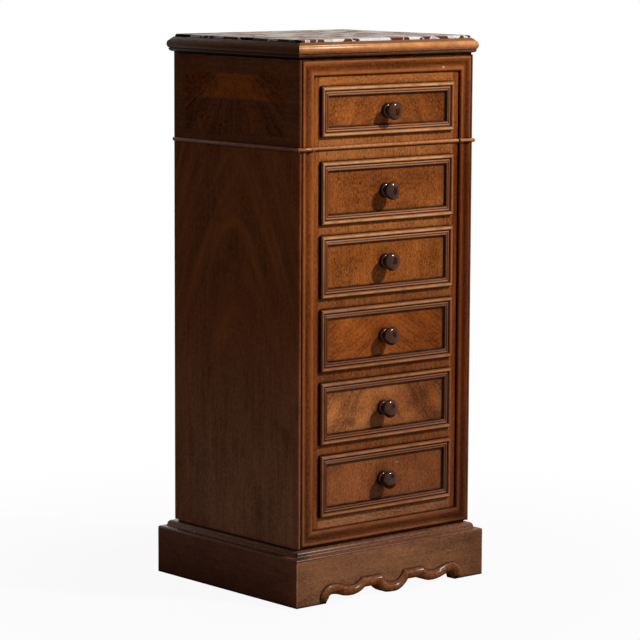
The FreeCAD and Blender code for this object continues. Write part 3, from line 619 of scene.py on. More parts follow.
DRAWER_SECTION = read_section(
    19.2, 8.2, (0, 0), (0, 0.52), ((0.21, 1), (0.427, 0.52)), (0.458, 0.52),
    ((0.568, 0.73), (0.677, 0.55)), ((0.797, 0.67), (0.917, 0.46)), (0.958, 0.1), (1, 0.1), (1, 0))
FRAME_SECTION = read_section(
    30.0, 5.9, (0, 0), (0, 0.14), (0.047, 0.14), ((0.09, 0.73), (0.18, 1)),
    ((0.32, 0.69), (0.483, 0.46)), ((0.653, 0.69), (0.82, 0.97)),
    ((0.93, 0.859), (0.987, 0.475)), (1, 0.475), (1, 0))
CORNICE_SECTION = read_section(
    7.2, 31.7, (1.417, 0), (1.417, 0.12), (0.96, 0.12), ((0.5, 0.2), (0.36, 0.31)), (0.55, 0.31),
    (0.55, 0.335), (0.375, 0.335), ((0, 0.59), (0.42, 0.81)), (0.58, 0.81), (0.61, 0.845),
    (1.347, 1), (1.403, 1), (1.403, 0.552), (6.26, 0.552), (6.26, 0))
PLINTH_SECTION = read_section(
    19.3, 16.5, (0, 0), (0, 0.127), ((0.047, 0.235), (0.145, 0.29)), (0.39, 0.33),
    ((0.56, 0.38), (0.653, 0.52)), ((0.755, 0.86), (0.975, 1)), (2.073, 1), (2.073, 0))
print("sections of", [len(s) for s in (DRAWER_SECTION, FRAME_SECTION, CORNICE_SECTION, PLINTH_SECTION)],
      "points")

# %% [markdown]
# ## Easing the arrises
# A real arris is never sharp: a joiner takes it off with one stroke of a block,
# and the light catches that hair of rounding. A bevel modifier that works by
# angle finds every arris by itself, and what is flatter is shaded as one round.

# %% Easing the arrises
ARRIS_ANGLE = math.radians(40)      # sharper edges are rounded
ROUND_ANGLE = math.radians(32)      # flatter edges are shaded as one round


def select_only(piece):
    bpy.ops.object.select_all(action="DESELECT")
    piece.select_set(True)
    bpy.context.view_layer.objects.active = piece


def finish_edges(piece, ease):
    """Round the sharp arrises a little and shade the rest smooth."""
    select_only(piece)
    if ease:
        soften = piece.modifiers.new("arrises", "BEVEL")
        soften.width = ease
        soften.segments = 2
        soften.limit_method = "ANGLE"
        soften.angle_limit = ARRIS_ANGLE
        bpy.ops.object.modifier_apply(modifier=soften.name)
    bpy.ops.object.shade_smooth_by_angle(angle=ROUND_ANGLE)


def stand_for(piece, node_name, body):
    """The piece takes the place of the drawing's node and moves with its body."""
    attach(piece, body)
    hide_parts(node_name)
    print(piece.name, len(piece.data.polygons), "faces")

print("arrises are rounded from", round(math.degrees(ARRIS_ANGLE)), "degrees up")

# %% [markdown]
# ## Carrying a section round
# The section could be swept along a curve, but a rectangle of four edges that is
# extruded and drawn in, step by step through the section, gives the same ring
# with exact mitres and very few faces. The last edge loop is then bridged to the
# first. Each ring is made to the box of the moulding that it stands for.

# %% Drawing a rectangle in through a section
def mitred_ring(node_name, section, standing, ease):
    """The ring that fills the node's box: standing on the front, or lying in plan."""
    low, high = (Vector(corner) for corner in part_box(node_name))
    across, rise = (2, 1) if standing else (1, 2)
    sign = -1 if standing else 1
    centre = (low + high) / 2
    centre[rise] = high[1] if standing else low[2]
    size = high - low
    bpy.ops.object.select_all(action="DESELECT")
    bpy.ops.mesh.primitive_plane_add(size=1, location=centre,
                                     rotation=(math.pi / 2, 0, 0) if standing else (0, 0, 0))
    ring = bpy.context.object
    bpy.ops.object.transform_apply(location=True, rotation=True, scale=True)
    bpy.ops.object.mode_set(mode="EDIT")
    bpy.ops.mesh.select_mode(type="EDGE")
    bpy.ops.mesh.select_all(action="SELECT")
    bpy.ops.mesh.delete(type="ONLY_FACE")
    bpy.ops.mesh.select_all(action="SELECT")
    start_in = section[0][0] / 1000
    stretch = [1.0, 1.0, 1.0]
    stretch[0], stretch[across] = size[0] - 2 * start_in, size[across] - 2 * start_in
    bpy.ops.transform.resize(value=stretch, center_override=centre)
    for (inset, height), (next_inset, next_height) in zip(section, section[1:]):
        move = [0.0, 0.0, 0.0]
        move[rise] = sign * (next_height - height) / 1000
        bpy.ops.mesh.extrude_edges_move(TRANSFORM_OT_translate={"value": move})
        share = [1.0, 1.0, 1.0]
        for axis in (0, across):
            share[axis] = (size[axis] - 2 * next_inset / 1000) / (size[axis] - 2 * inset / 1000)
        bpy.ops.transform.resize(value=share, center_override=centre)
    bpy.ops.mesh.select_all(action="DESELECT")
    bpy.ops.mesh.select_non_manifold(extend=False)
    bpy.ops.mesh.bridge_edge_loops()
    bpy.ops.mesh.select_all(action="SELECT")
    bpy.ops.mesh.normals_make_consistent(inside=False)
    bpy.ops.object.mode_set(mode="OBJECT")
    finish_edges(ring, ease)
    ring.name = node_name + "_run"
    return ring

mouldings = {"frame": mitred_ring("frame_moulding", FRAME_SECTION, True, 0.00012),
             "cornice": mitred_ring("cornice", CORNICE_SECTION, False, 0.00015),
             "plinth": mitred_ring("plinth_moulding", PLINTH_SECTION, False, 0.0004)}
stand_for(mouldings["frame"], "frame_moulding", "carcass")
stand_for(mouldings["cornice"], "cornice", "carcass")
stand_for(mouldings["plinth"], "plinth_moulding", "carcass")
for number in DRAWERS:
    mouldings[number] = mitred_ring("drawer_%d_moulding" % number, DRAWER_SECTION, True, 0.00012)
    stand_for(mouldings[number], "drawer_%d_moulding" % number, "drawer_%d" % number)

# %% [markdown]
# ## Bead and apron roll
# The bead steps over the frame and the roll follows a serpentine edge, so neither
# is a plain ring. Their drawn shapes are right already and only faceted. Each is
# copied, its loose triangles are merged into one skin, and shading by angle makes
# the rounds smooth and leaves the mitres crisp.

# %% Smoothed copies
def smoothed(node_name, body, ease):
    piece = bpy.data.objects.new(node_name + "_run", nodes[node_name].data.copy())
    bpy.context.scene.collection.objects.link(piece)
    select_only(piece)
    bpy.ops.object.mode_set(mode="EDIT")
    bpy.ops.mesh.select_all(action="SELECT")
    bpy.ops.mesh.remove_doubles(threshold=0.00002)
    bpy.ops.mesh.dissolve_limited(angle_limit=math.radians(0.5))
    bpy.ops.object.mode_set(mode="OBJECT")
    piece.data.materials.clear()
    finish_edges(piece, ease)
    stand_for(piece, node_name, body)
    return piece

mouldings["bead"] = smoothed("bead_moulding", "carcass", 0.0)
mouldings["roll"] = smoothed("apron_roll", "carcass", 0.0005)

# %% [markdown]
# ## Moulding finishes
# Mouldings are plain straight-grained walnut, stained a little darker. Every
# quirk is painted black, as black wax and as painted shade, and the crests and
# bead tips get a painted highlight, a tan. Because each moulding keeps one
# section, a height across the section tells where its quirks, beads and crests
# are, and the same few steps paint them all. The front lengths kept more of their
# polish than the sides.

# %% Wax and painted shade in the quirks, painted highlights on the crests
BLACK_WAX = (0.006, 0.0022, 0.0006)
BEAD_TIP = (0.42, 0.18, 0.080)


def waxed_quirks(steps, colour, across, uneven, quirks):
    """Each quirk is (clean, full, depth): where its black wax and painted shade start, are full, and how dark
    they are.
    """
    matt = 0.0
    for clean, full, depth in quirks:
        depth = steps.span(uneven, 0.25, 0.5, 0.8 * depth, depth)
        black = steps.math("MULTIPLY", steps.span(across, clean, full), depth)
        colour = steps.mix(black, colour, BLACK_WAX)
        matt = steps.math("MAXIMUM", matt, black)
    return colour, matt


def rubbed_crests(steps, colour, across, uneven, crest, rubbed, beads):
    """Crest is where the painted highlight starts and is full; beads are the two heights between which tips
    get a painted highlight.
    """
    # painted highlight: a tan along the crests and bead tips
    if crest:
        patchy = steps.span(uneven, 0.3, 0.6, 0.5, 1.0)
        colour = steps.mix(steps.math("MULTIPLY", steps.span(across, *crest), patchy), colour, rubbed)
    if beads:
        tips = steps.band(across, *beads, 0.00015)
        colour = steps.mix(steps.math("MULTIPLY", tips, 0.85), colour, BEAD_TIP)
    return colour


def ring_of(node_name, group):
    """A ring group and what it has to know about the node."""
    low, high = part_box(node_name)
    axis = 2 if group == standing_ring else 1
    return group, dict(Half=high[0], Low=low[axis], High=high[axis])

print("moulding steps ready")

# %% [markdown]
# ## One recipe for all mouldings
# A recipe with switches is easier to keep than six near copies. What most
# mouldings share is its default; a painted highlight on the crest or the bead
# tips, painted shade on the side lengths, a greyed foot or a coat of polish on the
# front is added only where a moulding has it.

# %% Moulding recipe
FOOT_TONE = (0.74, 0.86, 1.30)


def moulding_finish(name, light, dark, shift, ring=None, axis=1, crest=None, rubbed=None, beads=None,
                    side_tone=None, quirks=(), marks=(), age=None, foot_grey=0.0, front_coat=0.0,
                    **polish):
    """Crest, beads and quirks are measured along axis; without a ring the grain runs along x."""
    material, steps, place = start_finish(name)
    if ring:
        group, sizes = ring
        sorted_out = steps.node("Group", {"Place": place, **sizes}, node_tree=group).outputs
        lined_up = steps.vector("ADD", sorted_out["Place"], shift)
    else:
        lined_up = along(steps, place, "x", shift)
    wood = grain(steps, lined_up, light, dark, clouds=0.3, streaks=0.25, flecks=0.45, pores=0.4)
    across = steps.split(place)[axis]
    uneven = steps.noise(place, 45.0, detail=4.0)
    colour = rubbed_crests(steps, wood["Color"], across, uneven, crest, rubbed, beads)
    # painted shade: the side lengths of a ring are darker than the front lengths
    if side_tone:
        colour = steps.shade(sorted_out["Side"], colour, side_tone)
    colour, matt = waxed_quirks(steps, colour, across, uneven, quirks)
    colour = marked(steps, place, colour, marks)
    if age:
        colour = darkened(steps, place, colour, *age)
    if foot_grey:
        foot = steps.span(steps.split(place)[2], 0.38, 0.14, 0.0, foot_grey)
        colour = steps.shade(foot, colour, FOOT_TONE)
    if front_coat:
        facing = steps.math("SUBTRACT", 1.0, sorted_out["Side"])
        facing = steps.math("MULTIPLY", facing, steps.math("SUBTRACT", 1.0, matt))
        polish["coat"] = steps.math("MULTIPLY", facing, front_coat)
    polish = dict(dict(wax=1.0, reach=0.0045, wear=0.4, dullness=0.32, specular=0.08), **polish)
    end_finish(steps, place, colour, wood["Height"], **polish)
    return material


def polish_moulding(key, *grain_values, **switches):
    mouldings[key].data.materials.append(moulding_finish(*grain_values, **switches))

print("moulding recipe ready")

# %% [markdown]
# ## Mouldings on the front
# The mouldings on the front stand up from it, so the heights of their crests and
# quirks are places along y. The frame kept its dark polish; the rolls of the
# drawer mouldings stand out furthest and get a painted highlight, a tan along
# their crests. The six drawers differ only in their stretch of grain.

# %% Frame and drawer mouldings
frame_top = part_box("frame_moulding")[1][2]
# the first mark is a painted shadow, a dark band along the frame's top under the cornice; the second is a
# pale spot
FRAME_MARKS = [((0.0, -0.1880, frame_top), (2.0, 2.0, 0.0020), (0.010, 0.004, 0.002), 0.9),
               ((0.1383, -0.1893, 0.9913), (0.0035, 0.004, 0.0025), (0.62, 0.34, 0.26), 0.8)]
polish_moulding("frame", "frame moulding wood", (0.26, 0.068, 0.014), (0.085, 0.019, 0.004),
                (0.6, 0.0, 1.9), ring_of("frame_moulding", standing_ring), age=(0.3, 1.0),
                crest=(-0.1876, -0.1890), rubbed=(0.34, 0.100, 0.024), foot_grey=0.85,
                quirks=((-0.1876, -0.1863, 0.42), (-0.1862, -0.1858, 1.0)), marks=FRAME_MARKS,
                specular=0.03, wear=0.15)
for number in DRAWERS:
    ring = ring_of("drawer_%d_moulding" % number, standing_ring)
    polish_moulding(number, "drawer moulding wood %d" % number, (0.30, 0.085, 0.020),
                    (0.090, 0.021, 0.005), (0.37 * number, 0.0, 0.83 * number), ring,
                    age=(0.8, 0.5), crest=(-0.1906, -0.1915), rubbed=(0.66, 0.31, 0.120),
                    beads=(-0.1895, -0.1888), side_tone=(0.62, 0.52, 0.45),
                    quirks=((-0.1886, -0.1879, 1.0),), worn=(0.36, 0.18, 0.10), wear=0.3,
                    specular=0.06, coat=0.10)
print("frame and drawer mouldings polished")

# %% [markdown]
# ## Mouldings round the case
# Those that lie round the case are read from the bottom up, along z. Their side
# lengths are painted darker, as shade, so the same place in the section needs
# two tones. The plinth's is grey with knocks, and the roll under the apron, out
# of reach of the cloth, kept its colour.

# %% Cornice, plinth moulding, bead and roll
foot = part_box("cornice")[0][2]
CORNICE_MARKS = [((0.0930, -0.2010, 1.0315), (0.0034, 0.006, 0.0016), (0.012, 0.004, 0.002), 1.0)]
polish_moulding("cornice", "cornice wood", (0.40, 0.125, 0.032), (0.16, 0.042, 0.010),
                (4.4, 0.0, 0.7), ring_of("cornice", lying_ring), axis=2,
                crest=(foot + 0.0135, foot + 0.0220), rubbed=(0.64, 0.26, 0.078),
                side_tone=(0.22, 0.18, 0.15), front_coat=0.26, marks=CORNICE_MARKS,
                quirks=((foot + 0.0118, foot + 0.0108, 0.6), (foot + 0.0058, foot + 0.0042, 1.0),
                        (foot + 0.0262, foot + 0.0272, 0.7)),
                worn=(0.50, 0.24, 0.11), wear=0.1, specular=0.03)
# a pale chip on the left side, a dark patch at the front left corner, and a painted reflection, a pale sheen,
# on that corner
PLINTH_MARKS = [((-0.2255, 0.1158, 0.0924), (0.0015, 0.0030, 0.0015), (0.75, 0.68, 0.62), 1.0),
                ((-0.2200, -0.2000, 0.0965), (0.0260, 0.0140, 0.0070), (0.010, 0.006, 0.005), 0.85),
                ((-0.2146, -0.2050, 0.0985), (0.0110, 0.0040, 0.0028), (0.42, 0.36, 0.34), 0.75)]
polish_moulding("plinth", "plinth moulding wood", (0.21, 0.080, 0.036), (0.07, 0.023, 0.010),
                (1.2, 0.0, 3.3), ring_of("plinth_moulding", lying_ring), front_coat=0.06,
                side_tone=(0.90, 0.78, 0.68), marks=PLINTH_MARKS, worn=(0.24, 0.12, 0.07), wear=0.1)
bead_middle = (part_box("bead_moulding")[0][2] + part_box("bead_moulding")[1][2]) / 2
# a painted glint on the bead's front left corner; the quirk under the bead's middle is painted shadow
BEAD_MARKS = [((-0.2013, -0.1920, 0.8505), (0.0060, 0.0060, 0.0014), (0.80, 0.52, 0.36), 0.8)]
polish_moulding("bead", "bead wood", (0.60, 0.21, 0.065), (0.26, 0.085, 0.024),
                (6.1, 0.0, 2.2), ring_of("cornice", lying_ring), axis=2, front_coat=0.1,
                side_tone=(0.60, 0.42, 0.36), quirks=((bead_middle, bead_middle - 0.002, 0.85),),
                marks=BEAD_MARKS, worn=(0.50, 0.27, 0.15), wear=0.7, reach=0.004)
board_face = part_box("plinth_front")[0][1]
polish_moulding("roll", "apron roll wood", (0.27, 0.082, 0.024), (0.065, 0.018, 0.006),
                (2.8, 0.0, 1.4), quirks=((board_face - 0.0026, board_face - 0.0012, 1.0),),
                worn=(0.3, 0.14, 0.08), wear=0.2, reach=0.007, dullness=0.30, specular=0.04,
                coat=0.26, coat_roughness=0.24)
print(len(mouldings), "mouldings polished")

# %% [markdown]
# ## Turned knobs
# A wooden knob is one turning: a collar that sits on the front, a thin neck and a
# broad domed head. It could be a profile spun about its axis; pushing the end of
# a short rod outwards ring by ring, as the gouge meets it, keeps each step
# visible. The knob is made once and copied to the six places where the fronts
# were bored, a few millimetres off the middle.

# %% One knob
KNOB_RINGS = [      # radius and reach from the front, in millimetres
    (11.9, 0.0), (12.7, 0.9), (13.2, 2.6), (13.1, 4.6), (12.4, 6.2), (11.2, 7.3), (9.6, 7.7), (8.0, 8.2),
    (7.2, 9.6), (7.2, 11.0), (7.9, 12.2), (9.9, 13.2), (12.6, 14.3), (14.9, 16.0), (16.5, 18.3),
    (17.2, 20.4), (17.4, 22.0), (17.1, 23.6), (16.2, 25.2), (14.6, 26.8), (12.2, 28.2), (9.0, 29.2),
    (5.4, 29.8), (2.2, 29.98)]
ROD = 0.001         # length of the rod that the turning starts from


def turn_knob():
    bpy.ops.object.select_all(action="DESELECT")
    bpy.ops.mesh.primitive_cylinder_add(vertices=56, radius=KNOB_RINGS[0][0] / 1000, depth=ROD,
                                        location=(0, FACE_Y + ROD / 2, 0), rotation=(math.pi / 2, 0, 0))
    knob = bpy.context.object
    bpy.ops.object.transform_apply(location=True, rotation=True, scale=True)
    bpy.ops.object.mode_set(mode="EDIT")
    bpy.ops.mesh.select_all(action="DESELECT")
    bpy.ops.object.mode_set(mode="OBJECT")
    for face in knob.data.polygons:
        face.select = face.normal.y < -0.9
    bpy.ops.object.mode_set(mode="EDIT")
    for (radius, reach), (next_radius, next_reach) in zip(KNOB_RINGS, KNOB_RINGS[1:]):
        step = (reach - next_reach) / 1000
        bpy.ops.mesh.extrude_region_move(TRANSFORM_OT_translate={"value": (0, step, 0)})
        share = next_radius / radius
        bpy.ops.transform.resize(value=(share, 1, share),
                                 center_override=(0, FACE_Y - next_reach / 1000, 0))
    bpy.ops.object.mode_set(mode="OBJECT")
    bpy.ops.object.shade_smooth_by_angle(angle=math.radians(50))
    return knob

pattern_knob = turn_knob()
print("knob:", len(pattern_knob.data.polygons), "faces,", [round(v, 4) for v in pattern_knob.dimensions])

# %% [markdown]
# ## Knob finish
# The knobs are a close-grained wood stained almost black and polished by hands,
# the glossiest pieces on the chest. The gloss could come from a low roughness
# alone; a clear coat over a duller wood leaves the stain its depth. Each copy is
# moved in its mesh, so its object stays at the origin as the drawing's pieces do.

# %% Knob finish and copies
def knob_finish():
    material, steps, place = start_finish("knob wood")
    wood = grain(steps, along(steps, place, "y", (0.2, 0.0, 0.5)), (0.086, 0.021, 0.0035),
                 (0.018, 0.0042, 0.0008), clouds=0.4, streaks=0.4, flecks=0.2, pores=0.4)
    end_finish(steps, place, wood["Color"], wood["Height"], wax=0.9, wear=0.25, worn=(0.16, 0.07, 0.04),
               dullness=0.34, relief=0.00005, specular=0.0, coat=0.5, coat_roughness=0.155)
    return material

pattern_knob.data.materials.append(knob_finish())
for number, (x, z) in KNOB_PLACES.items():
    knob = bpy.data.objects.new("drawer_%d_turned_knob" % number, pattern_knob.data.copy())
    knob.data.transform(Matrix.Translation((x, 0, z)))
    bpy.context.scene.collection.objects.link(knob)
    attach(knob, "drawer_%d" % number)
    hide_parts("drawer_%d_knob" % number)
    low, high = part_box("drawer_%d_knob" % number)
    print("knob", number, "off the drawing by",
          [round(1000 * ((low[i] + high[i]) / 2 - (x, 0, z)[i]), 2) for i in (0, 2)], "mm")
bpy.data.objects.remove(pattern_knob)

# %% [markdown]
# ## Stone top
# The slab lies in a rebate of the cornice and stands a few millimetres proud of
# it. It starts as a block, and its upright corners and its top arris are
# bevelled. A modifier would round every edge alike; bevelling picked edges keeps
# the hidden ones square.

# %% Slab
def pick_edges(piece, wanted):
    """Go into edit mode with those edges selected whose two ends pass the test."""
    bpy.ops.object.mode_set(mode="EDIT")
    bpy.ops.mesh.select_mode(type="EDGE")
    bpy.ops.object.mode_set(mode="OBJECT")
    for edge in piece.data.edges:
        edge.select = wanted(*(piece.data.vertices[i].co for i in edge.vertices))
    bpy.ops.object.mode_set(mode="EDIT")


def cut_slab():
    low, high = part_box("marble_top")
    size = [high[i] - low[i] for i in range(3)]
    centre = [(high[i] + low[i]) / 2 for i in range(3)]
    bpy.ops.object.select_all(action="DESELECT")
    bpy.ops.mesh.primitive_cube_add(size=1, location=centre, scale=size)
    slab = bpy.context.object
    bpy.ops.object.transform_apply(location=True, rotation=True, scale=True)
    pick_edges(slab, lambda a, b: abs(a.z - b.z) > 0.01)
    bpy.ops.mesh.bevel(offset=0.004, segments=4, affect="EDGES")
    bpy.ops.object.mode_set(mode="OBJECT")
    pick_edges(slab, lambda a, b: min(a.z, b.z) > high[2] - 0.0001)
    bpy.ops.mesh.bevel(offset=0.0016, segments=3, affect="EDGES")
    bpy.ops.object.mode_set(mode="OBJECT")
    return slab

slab = cut_slab()
print("slab:", len(slab.data.polygons), "faces")

# %% [markdown]
# ## Chips
# Old stone is chipped all along its edge. The block is sliced every few
# millimetres, so that there are points to move, and the points near the top
# arris are pushed in and down where a noise is high. Chips could be cut with
# booleans, one by one; noise gives small and large ones together.

# %% Chipped arris
SLICE = 0.004           # distance between the slices, in metres
CHIP_IN, CHIP_DOWN = 0.0035, 0.006      # the deepest chip
EDGE_WIDTH, EDGE_HEIGHT = 0.0022, 0.0045    # the part of the arris that chips reach


def slice_up(slab, low, high):
    bpy.ops.object.mode_set(mode="EDIT")
    for axis in (0, 1):
        count = int((high[axis] - low[axis]) / SLICE)
        for i in range(1, count):
            point, normal = [0, 0, 0], [0, 0, 0]
            point[axis] = low[axis] + (high[axis] - low[axis]) * i / count
            normal[axis] = 1
            bpy.ops.mesh.select_all(action="SELECT")
            bpy.ops.mesh.bisect(plane_co=point, plane_no=normal)
    bpy.ops.object.mode_set(mode="OBJECT")


def chip(slab):
    """Chip the top arris and say how many points moved."""
    low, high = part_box("marble_top")
    select_only(slab)
    for vertex in slab.data.vertices:
        vertex.co.z = min(vertex.co.z, high[2])
    slice_up(slab, low, high)
    middle = Vector(((low[0] + high[0]) / 2, (low[1] + high[1]) / 2, 0))
    chipped = 0
    for vertex in slab.data.vertices:
        place = vertex.co.copy()
        out = max(abs(place.x - middle.x) - (high[0] - middle.x),
                  abs(place.y - middle.y) - (high[1] - middle.y))
        near = max(0.0, 1 + out / EDGE_WIDTH) * max(0.0, 1 - (high[2] - place.z) / EDGE_HEIGHT)
        depth = near * max(0.0, noise.noise(place * 70) + 0.25 * noise.noise(place * 260) - 0.08)
        if depth > 0.01:
            inwards = Vector((middle.x - place.x, middle.y - place.y, 0)).normalized()
            vertex.co = place + inwards * CHIP_IN * depth - Vector((0, 0, CHIP_DOWN * depth))
            chipped += 1
    return chipped

print("chipped", chip(slab), "points")
select_only(slab)
bpy.ops.object.shade_smooth_by_angle(angle=math.radians(40))
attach(slab, "carcass")
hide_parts("marble_top")
slab.name = "stone_slab"

# %% [markdown]
# ## Stone finish
# The stone is a breccia: angular pieces of red brown and grey in a paler,
# streaked ground, with white veins between them. Voronoi cells give the pieces
# and the distance to their edges gives the veins; bending the place first takes
# away the look of a honeycomb. Dust lies on the top, and the left edge, out of
# the lamp, is darker where the stone isn't pale.

# %% Breccia
VEIN = (0.78, 0.75, 0.72)
DUST = (0.45, 0.36, 0.30)
LEFT_SHADE = (0.14, 0.10, 0.09)


def breccia():
    material, steps, place = start_finish("breccia")
    moved = steps.vector("ADD", place, (0.31, 0.12, 0.0))
    bend = steps.noise(moved, 26.0, detail=3.0, output=1)
    bent = steps.vector("MULTIPLY_ADD", bend, (0.035, 0.035, 0.035), moved)
    pieces = {"Vector": bent, "Scale": 34.0, "Randomness": 1.0}
    kind = steps.split(steps.node("TexVoronoi", pieces, feature="F1").outputs["Color"])[0]
    rim = steps.node("TexVoronoi", pieces, feature="DISTANCE_TO_EDGE").outputs["Distance"]
    ground = steps.noise(bent, (30.0, 90.0, 90.0), detail=4.0, roughness=0.6)
    ground = steps.mix(steps.span(ground, 0.35, 0.65), (0.34, 0.250, 0.225), (0.66, 0.57, 0.53))
    fine = steps.noise(moved, 400.0)
    red = steps.mix(fine, (0.050, 0.013, 0.012), (0.15, 0.045, 0.036))
    pale = steps.mix(fine, (0.56, 0.53, 0.51), (0.84, 0.81, 0.78))
    colour = steps.mix(steps.span(kind, 0.52, 0.56), ground, red)
    colour = steps.mix(steps.span(kind, 0.30, 0.26), colour, pale)
    vein = steps.math("MULTIPLY", steps.span(rim, 0.05, 0.015), steps.span(ground, 0.1, 0.5, 0.35, 0.9))
    colour = steps.mix(vein, colour, VEIN)
    x, y, z = steps.split(place)
    dusty = steps.span(z, 1.0485, 1.0496)
    colour = steps.mix(steps.math("MULTIPLY", dusty, 0.5), colour, DUST)
    shaded = steps.math("MULTIPLY", steps.span(x, -0.2085, -0.2105), steps.math("SUBTRACT", 1.0, dusty))
    shaded = steps.math("MULTIPLY", shaded, steps.span(kind, 0.30, 0.36, 0.15, 0.93))
    colour = steps.shade(shaded, colour, LEFT_SHADE)
    dull = steps.span(steps.noise(moved, 20.0, detail=3.0), 0.3, 0.7, 0.22, 0.38)
    bump = steps.node("Bump", {"Height": fine, "Strength": 0.4, "Distance": 0.0001})
    shader = steps.tree.nodes["Principled BSDF"]
    steps.feed(shader.inputs["Base Color"], colour)
    steps.feed(shader.inputs["Roughness"], dull)
    steps.feed(shader.inputs["Normal"], bump.outputs[0])
    shader.inputs["Specular IOR Level"].default_value = 0.0
    return material

slab.data.materials.append(breccia())
print("stone finished")

# %% [markdown]
# ## Unpolished timber
# Inside, behind and under the chest the wood is a paler one, planed and never
# polished: drawer sides and backs, runners, the bottom board, the back. It has
# dry straight grain, a few grey years on it, and corners painted darker, as dirt
# and as shade.

# %% Secondary wood
GREY_YEARS = (0.5, 0.45, 0.4)
LINING = (0.42, 0.26, 0.13), (0.24, 0.13, 0.06)
OLD_PINE = (0.30, 0.17, 0.08), (0.14, 0.07, 0.03)


def secondary_wood(name, run, light, dark, shift):
    material, steps, place = start_finish(name)
    wood = grain(steps, along(steps, place, run, shift), light, dark,
                 clouds=0.3, streaks=0.45, flecks=0.2, pores=0.3)
    dust = steps.noise(place, 8.0, detail=5.0, roughness=0.6)
    colour = steps.shade(steps.span(dust, 0.5, 0.8, 0.0, 0.5), wood["Color"], GREY_YEARS)
    end_finish(steps, place, colour, wood["Height"], wax=0.6, reach=0.012, wear=0.2, dullness=0.62,
               specular=0.2, relief=0.0003, worn=(0.5, 0.36, 0.22))
    return material

sides_wood = secondary_wood("drawer side wood", "y", *LINING, (0.9, 0.0, 0.4))
across_wood = secondary_wood("drawer back wood", "x", *LINING, (2.9, 0.0, 1.4))
pine_upright = secondary_wood("back board wood", "z", *OLD_PINE, (1.3, 0.0, 3.4))
pine_across = secondary_wood("cross board wood", "x", *OLD_PINE, (5.3, 0.0, 2.2))
pine_deep = secondary_wood("runner wood", "y", *OLD_PINE, (7.3, 0.0, 6.2))
for number in DRAWERS:
    dress(sides_wood, "drawer_%d_sides" % number)
    dress(across_wood, "drawer_%d_back" % number, "drawer_%d_bottom" % number)
dress(pine_upright, "back_boards", "corner_blocks")
dress(pine_across, "bottom_board", "top_board", "plinth_back", "drawer_stops")
dress(pine_deep, "drawer_runners", "drawer_guides")
print("unpolished timber on the rest")

# %% [markdown]
# ## Floor and backdrop
# The studio is a pale floor that runs up to a white surround. Both are white only
# where they are looked at or mirrored: the floor is a mid grey that turns into
# plain white light for the camera, so it adds little light of its own to the
# chest and still keeps its shadow. More lamps would whiten it too, and would
# bleach the wood.

# %% Floor and world
FLOOR_GREY = (0.5, 0.5, 0.5, 1)
WHITE = (1, 1, 1)
FILL = 0.12                     # the surround's own light on the chest
SHADOW_ENDS = (0.45, 1.3)       # how far from the chest the floor keeps a shadow, in metres


def seen(steps):
    """1 where a ray comes from the camera, a mirror or glass."""
    path = steps.node("LightPath").outputs
    either = steps.math("MAXIMUM", path["Is Camera Ray"], path["Is Glossy Ray"])
    return steps.math("MAXIMUM", either, path["Is Transmission Ray"])


def floor_material():
    material, steps, place = start_finish("floor")
    shader = material.node_tree.nodes["Principled BSDF"]
    shader.inputs["Base Color"].default_value = FLOOR_GREY
    shader.inputs["Roughness"].default_value = 0.9
    shader.inputs["Specular IOR Level"].default_value = 0.0
    share = steps.math("MULTIPLY", seen(steps), steps.span(steps.length(place), *SHADOW_ENDS, 0.93, 1.0))
    glow = steps.node("Emission", {"Color": WHITE, "Strength": 1.0}).outputs[0]
    blended = steps.node("MixShader", {0: share, 1: shader.outputs[0], 2: glow}).outputs[0]
    steps.feed(material.node_tree.nodes["Material Output"].inputs[0], blended)
    return material

bpy.ops.object.select_all(action="DESELECT")
bpy.ops.mesh.primitive_plane_add(size=30, location=(0, 0, 0))
floor = bpy.context.object
floor.name = "floor"
floor.data.materials.append(floor_material())
world = bpy.data.worlds.new("world")
bpy.context.scene.world = world
world.use_nodes = True
steps = Recipe(world.node_tree)
fill = world.node_tree.nodes["Background"]
steps.feed(fill.inputs["Color"], WHITE)
fill.inputs["Strength"].default_value = FILL
white = steps.node("Background", {"Color": WHITE, "Strength": 1.0})
surround = steps.node("MixShader", {0: seen(steps), 1: fill.outputs[0], 2: white.outputs[0]})
steps.feed(world.node_tree.nodes["World Output"].inputs[0], surround.outputs[0])
print("floor and world ready")

# %% [markdown]
# ## Lamps
# One soft lamp high on the right shapes the front and draws the shadows under
# the knobs, and a weak one behind gives the far edges a rim. Many lamps would
# flatten the mouldings, and a sun lamp would make every shadow equally hard.

# %% Lamps
def lamp(name, place, target, size, power):
    data = bpy.data.lights.new(name, "AREA")
    data.size = size
    data.energy = power
    light = bpy.data.objects.new(name, data)
    bpy.context.scene.collection.objects.link(light)
    light.location = place
    light.rotation_euler = (Vector(target) - Vector(place)).to_track_quat("-Z", "Y").to_euler()

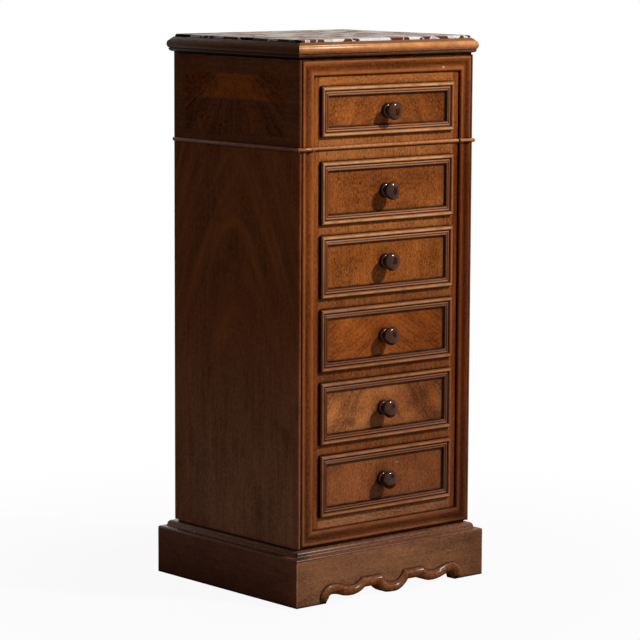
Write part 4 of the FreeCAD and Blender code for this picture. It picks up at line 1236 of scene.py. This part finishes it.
CHEST_MIDDLE = (0, 0, 0.5)
lamp("key", (2.0, -3.2, 3.7), CHEST_MIDDLE, 0.4, 250)
lamp("back", (1.6, 3.0, 2.2), CHEST_MIDDLE, 1.0, 40)
bpy.context.scene.view_settings.view_transform = "Standard"
print("two lamps")

# %% [markdown]
# ## Black cloths
# Polish mirrors whatever stands round it, and a white surround would lay a grey
# veil over dark wood. In a studio black cloths are hung out of view for this.
# Here they are planes that show only where something is mirrored; neither the
# camera nor the light on the wood meets them.

# %% Black cloths
CLOTHS = [      # name, place, width, height, turn about z in degrees, and whether it lies flat
    ("cloth front right", (1.45, -1.75, 0.6), 5.0, 2.8, 40, False),
    ("cloth behind left", (-1.5, 1.6, 0.9), 5.0, 3.4, 43, False),
    ("cloth behind right", (3.2, 3.6, 1.2), 7.0, 4.4, -41, False),
    ("cloth far front", (0.0, -7.5, 3.0), 16.0, 9.0, 0, False),
    ("cloth far right", (7.5, 0.0, 3.0), 16.0, 9.0, 90, False),
    ("cloth far left", (-7.5, 0.0, 3.0), 16.0, 9.0, 90, False),
    ("cloth overhead", (0.0, 0.0, 6.5), 15.0, 15.0, 0, True),
    ("cloth underfoot", (0.0, 0.0, 0.0006), 15.0, 15.0, 0, True)]


def black_cloth(name, place, width, height, turn, flat):
    """A cloth that only the polish sees: it casts no shadow and hides nothing from view."""
    bpy.ops.object.select_all(action="DESELECT")
    bpy.ops.mesh.primitive_plane_add(size=1, location=place, scale=(width, height, 1),
                                     rotation=(0 if flat else math.pi / 2, 0, math.radians(turn)))
    cloth = bpy.context.object
    cloth.name = name
    material = bpy.data.materials.new(name)
    material.use_nodes = True
    shader = material.node_tree.nodes["Principled BSDF"]
    shader.inputs["Base Color"].default_value = (0, 0, 0, 1)
    shader.inputs["Specular IOR Level"].default_value = 0.0
    cloth.data.materials.append(material)
    cloth.visible_camera = False
    cloth.visible_diffuse = False
    cloth.visible_shadow = False

for cloth in CLOTHS:
    black_cloth(*cloth)
print(len(CLOTHS), "cloths")
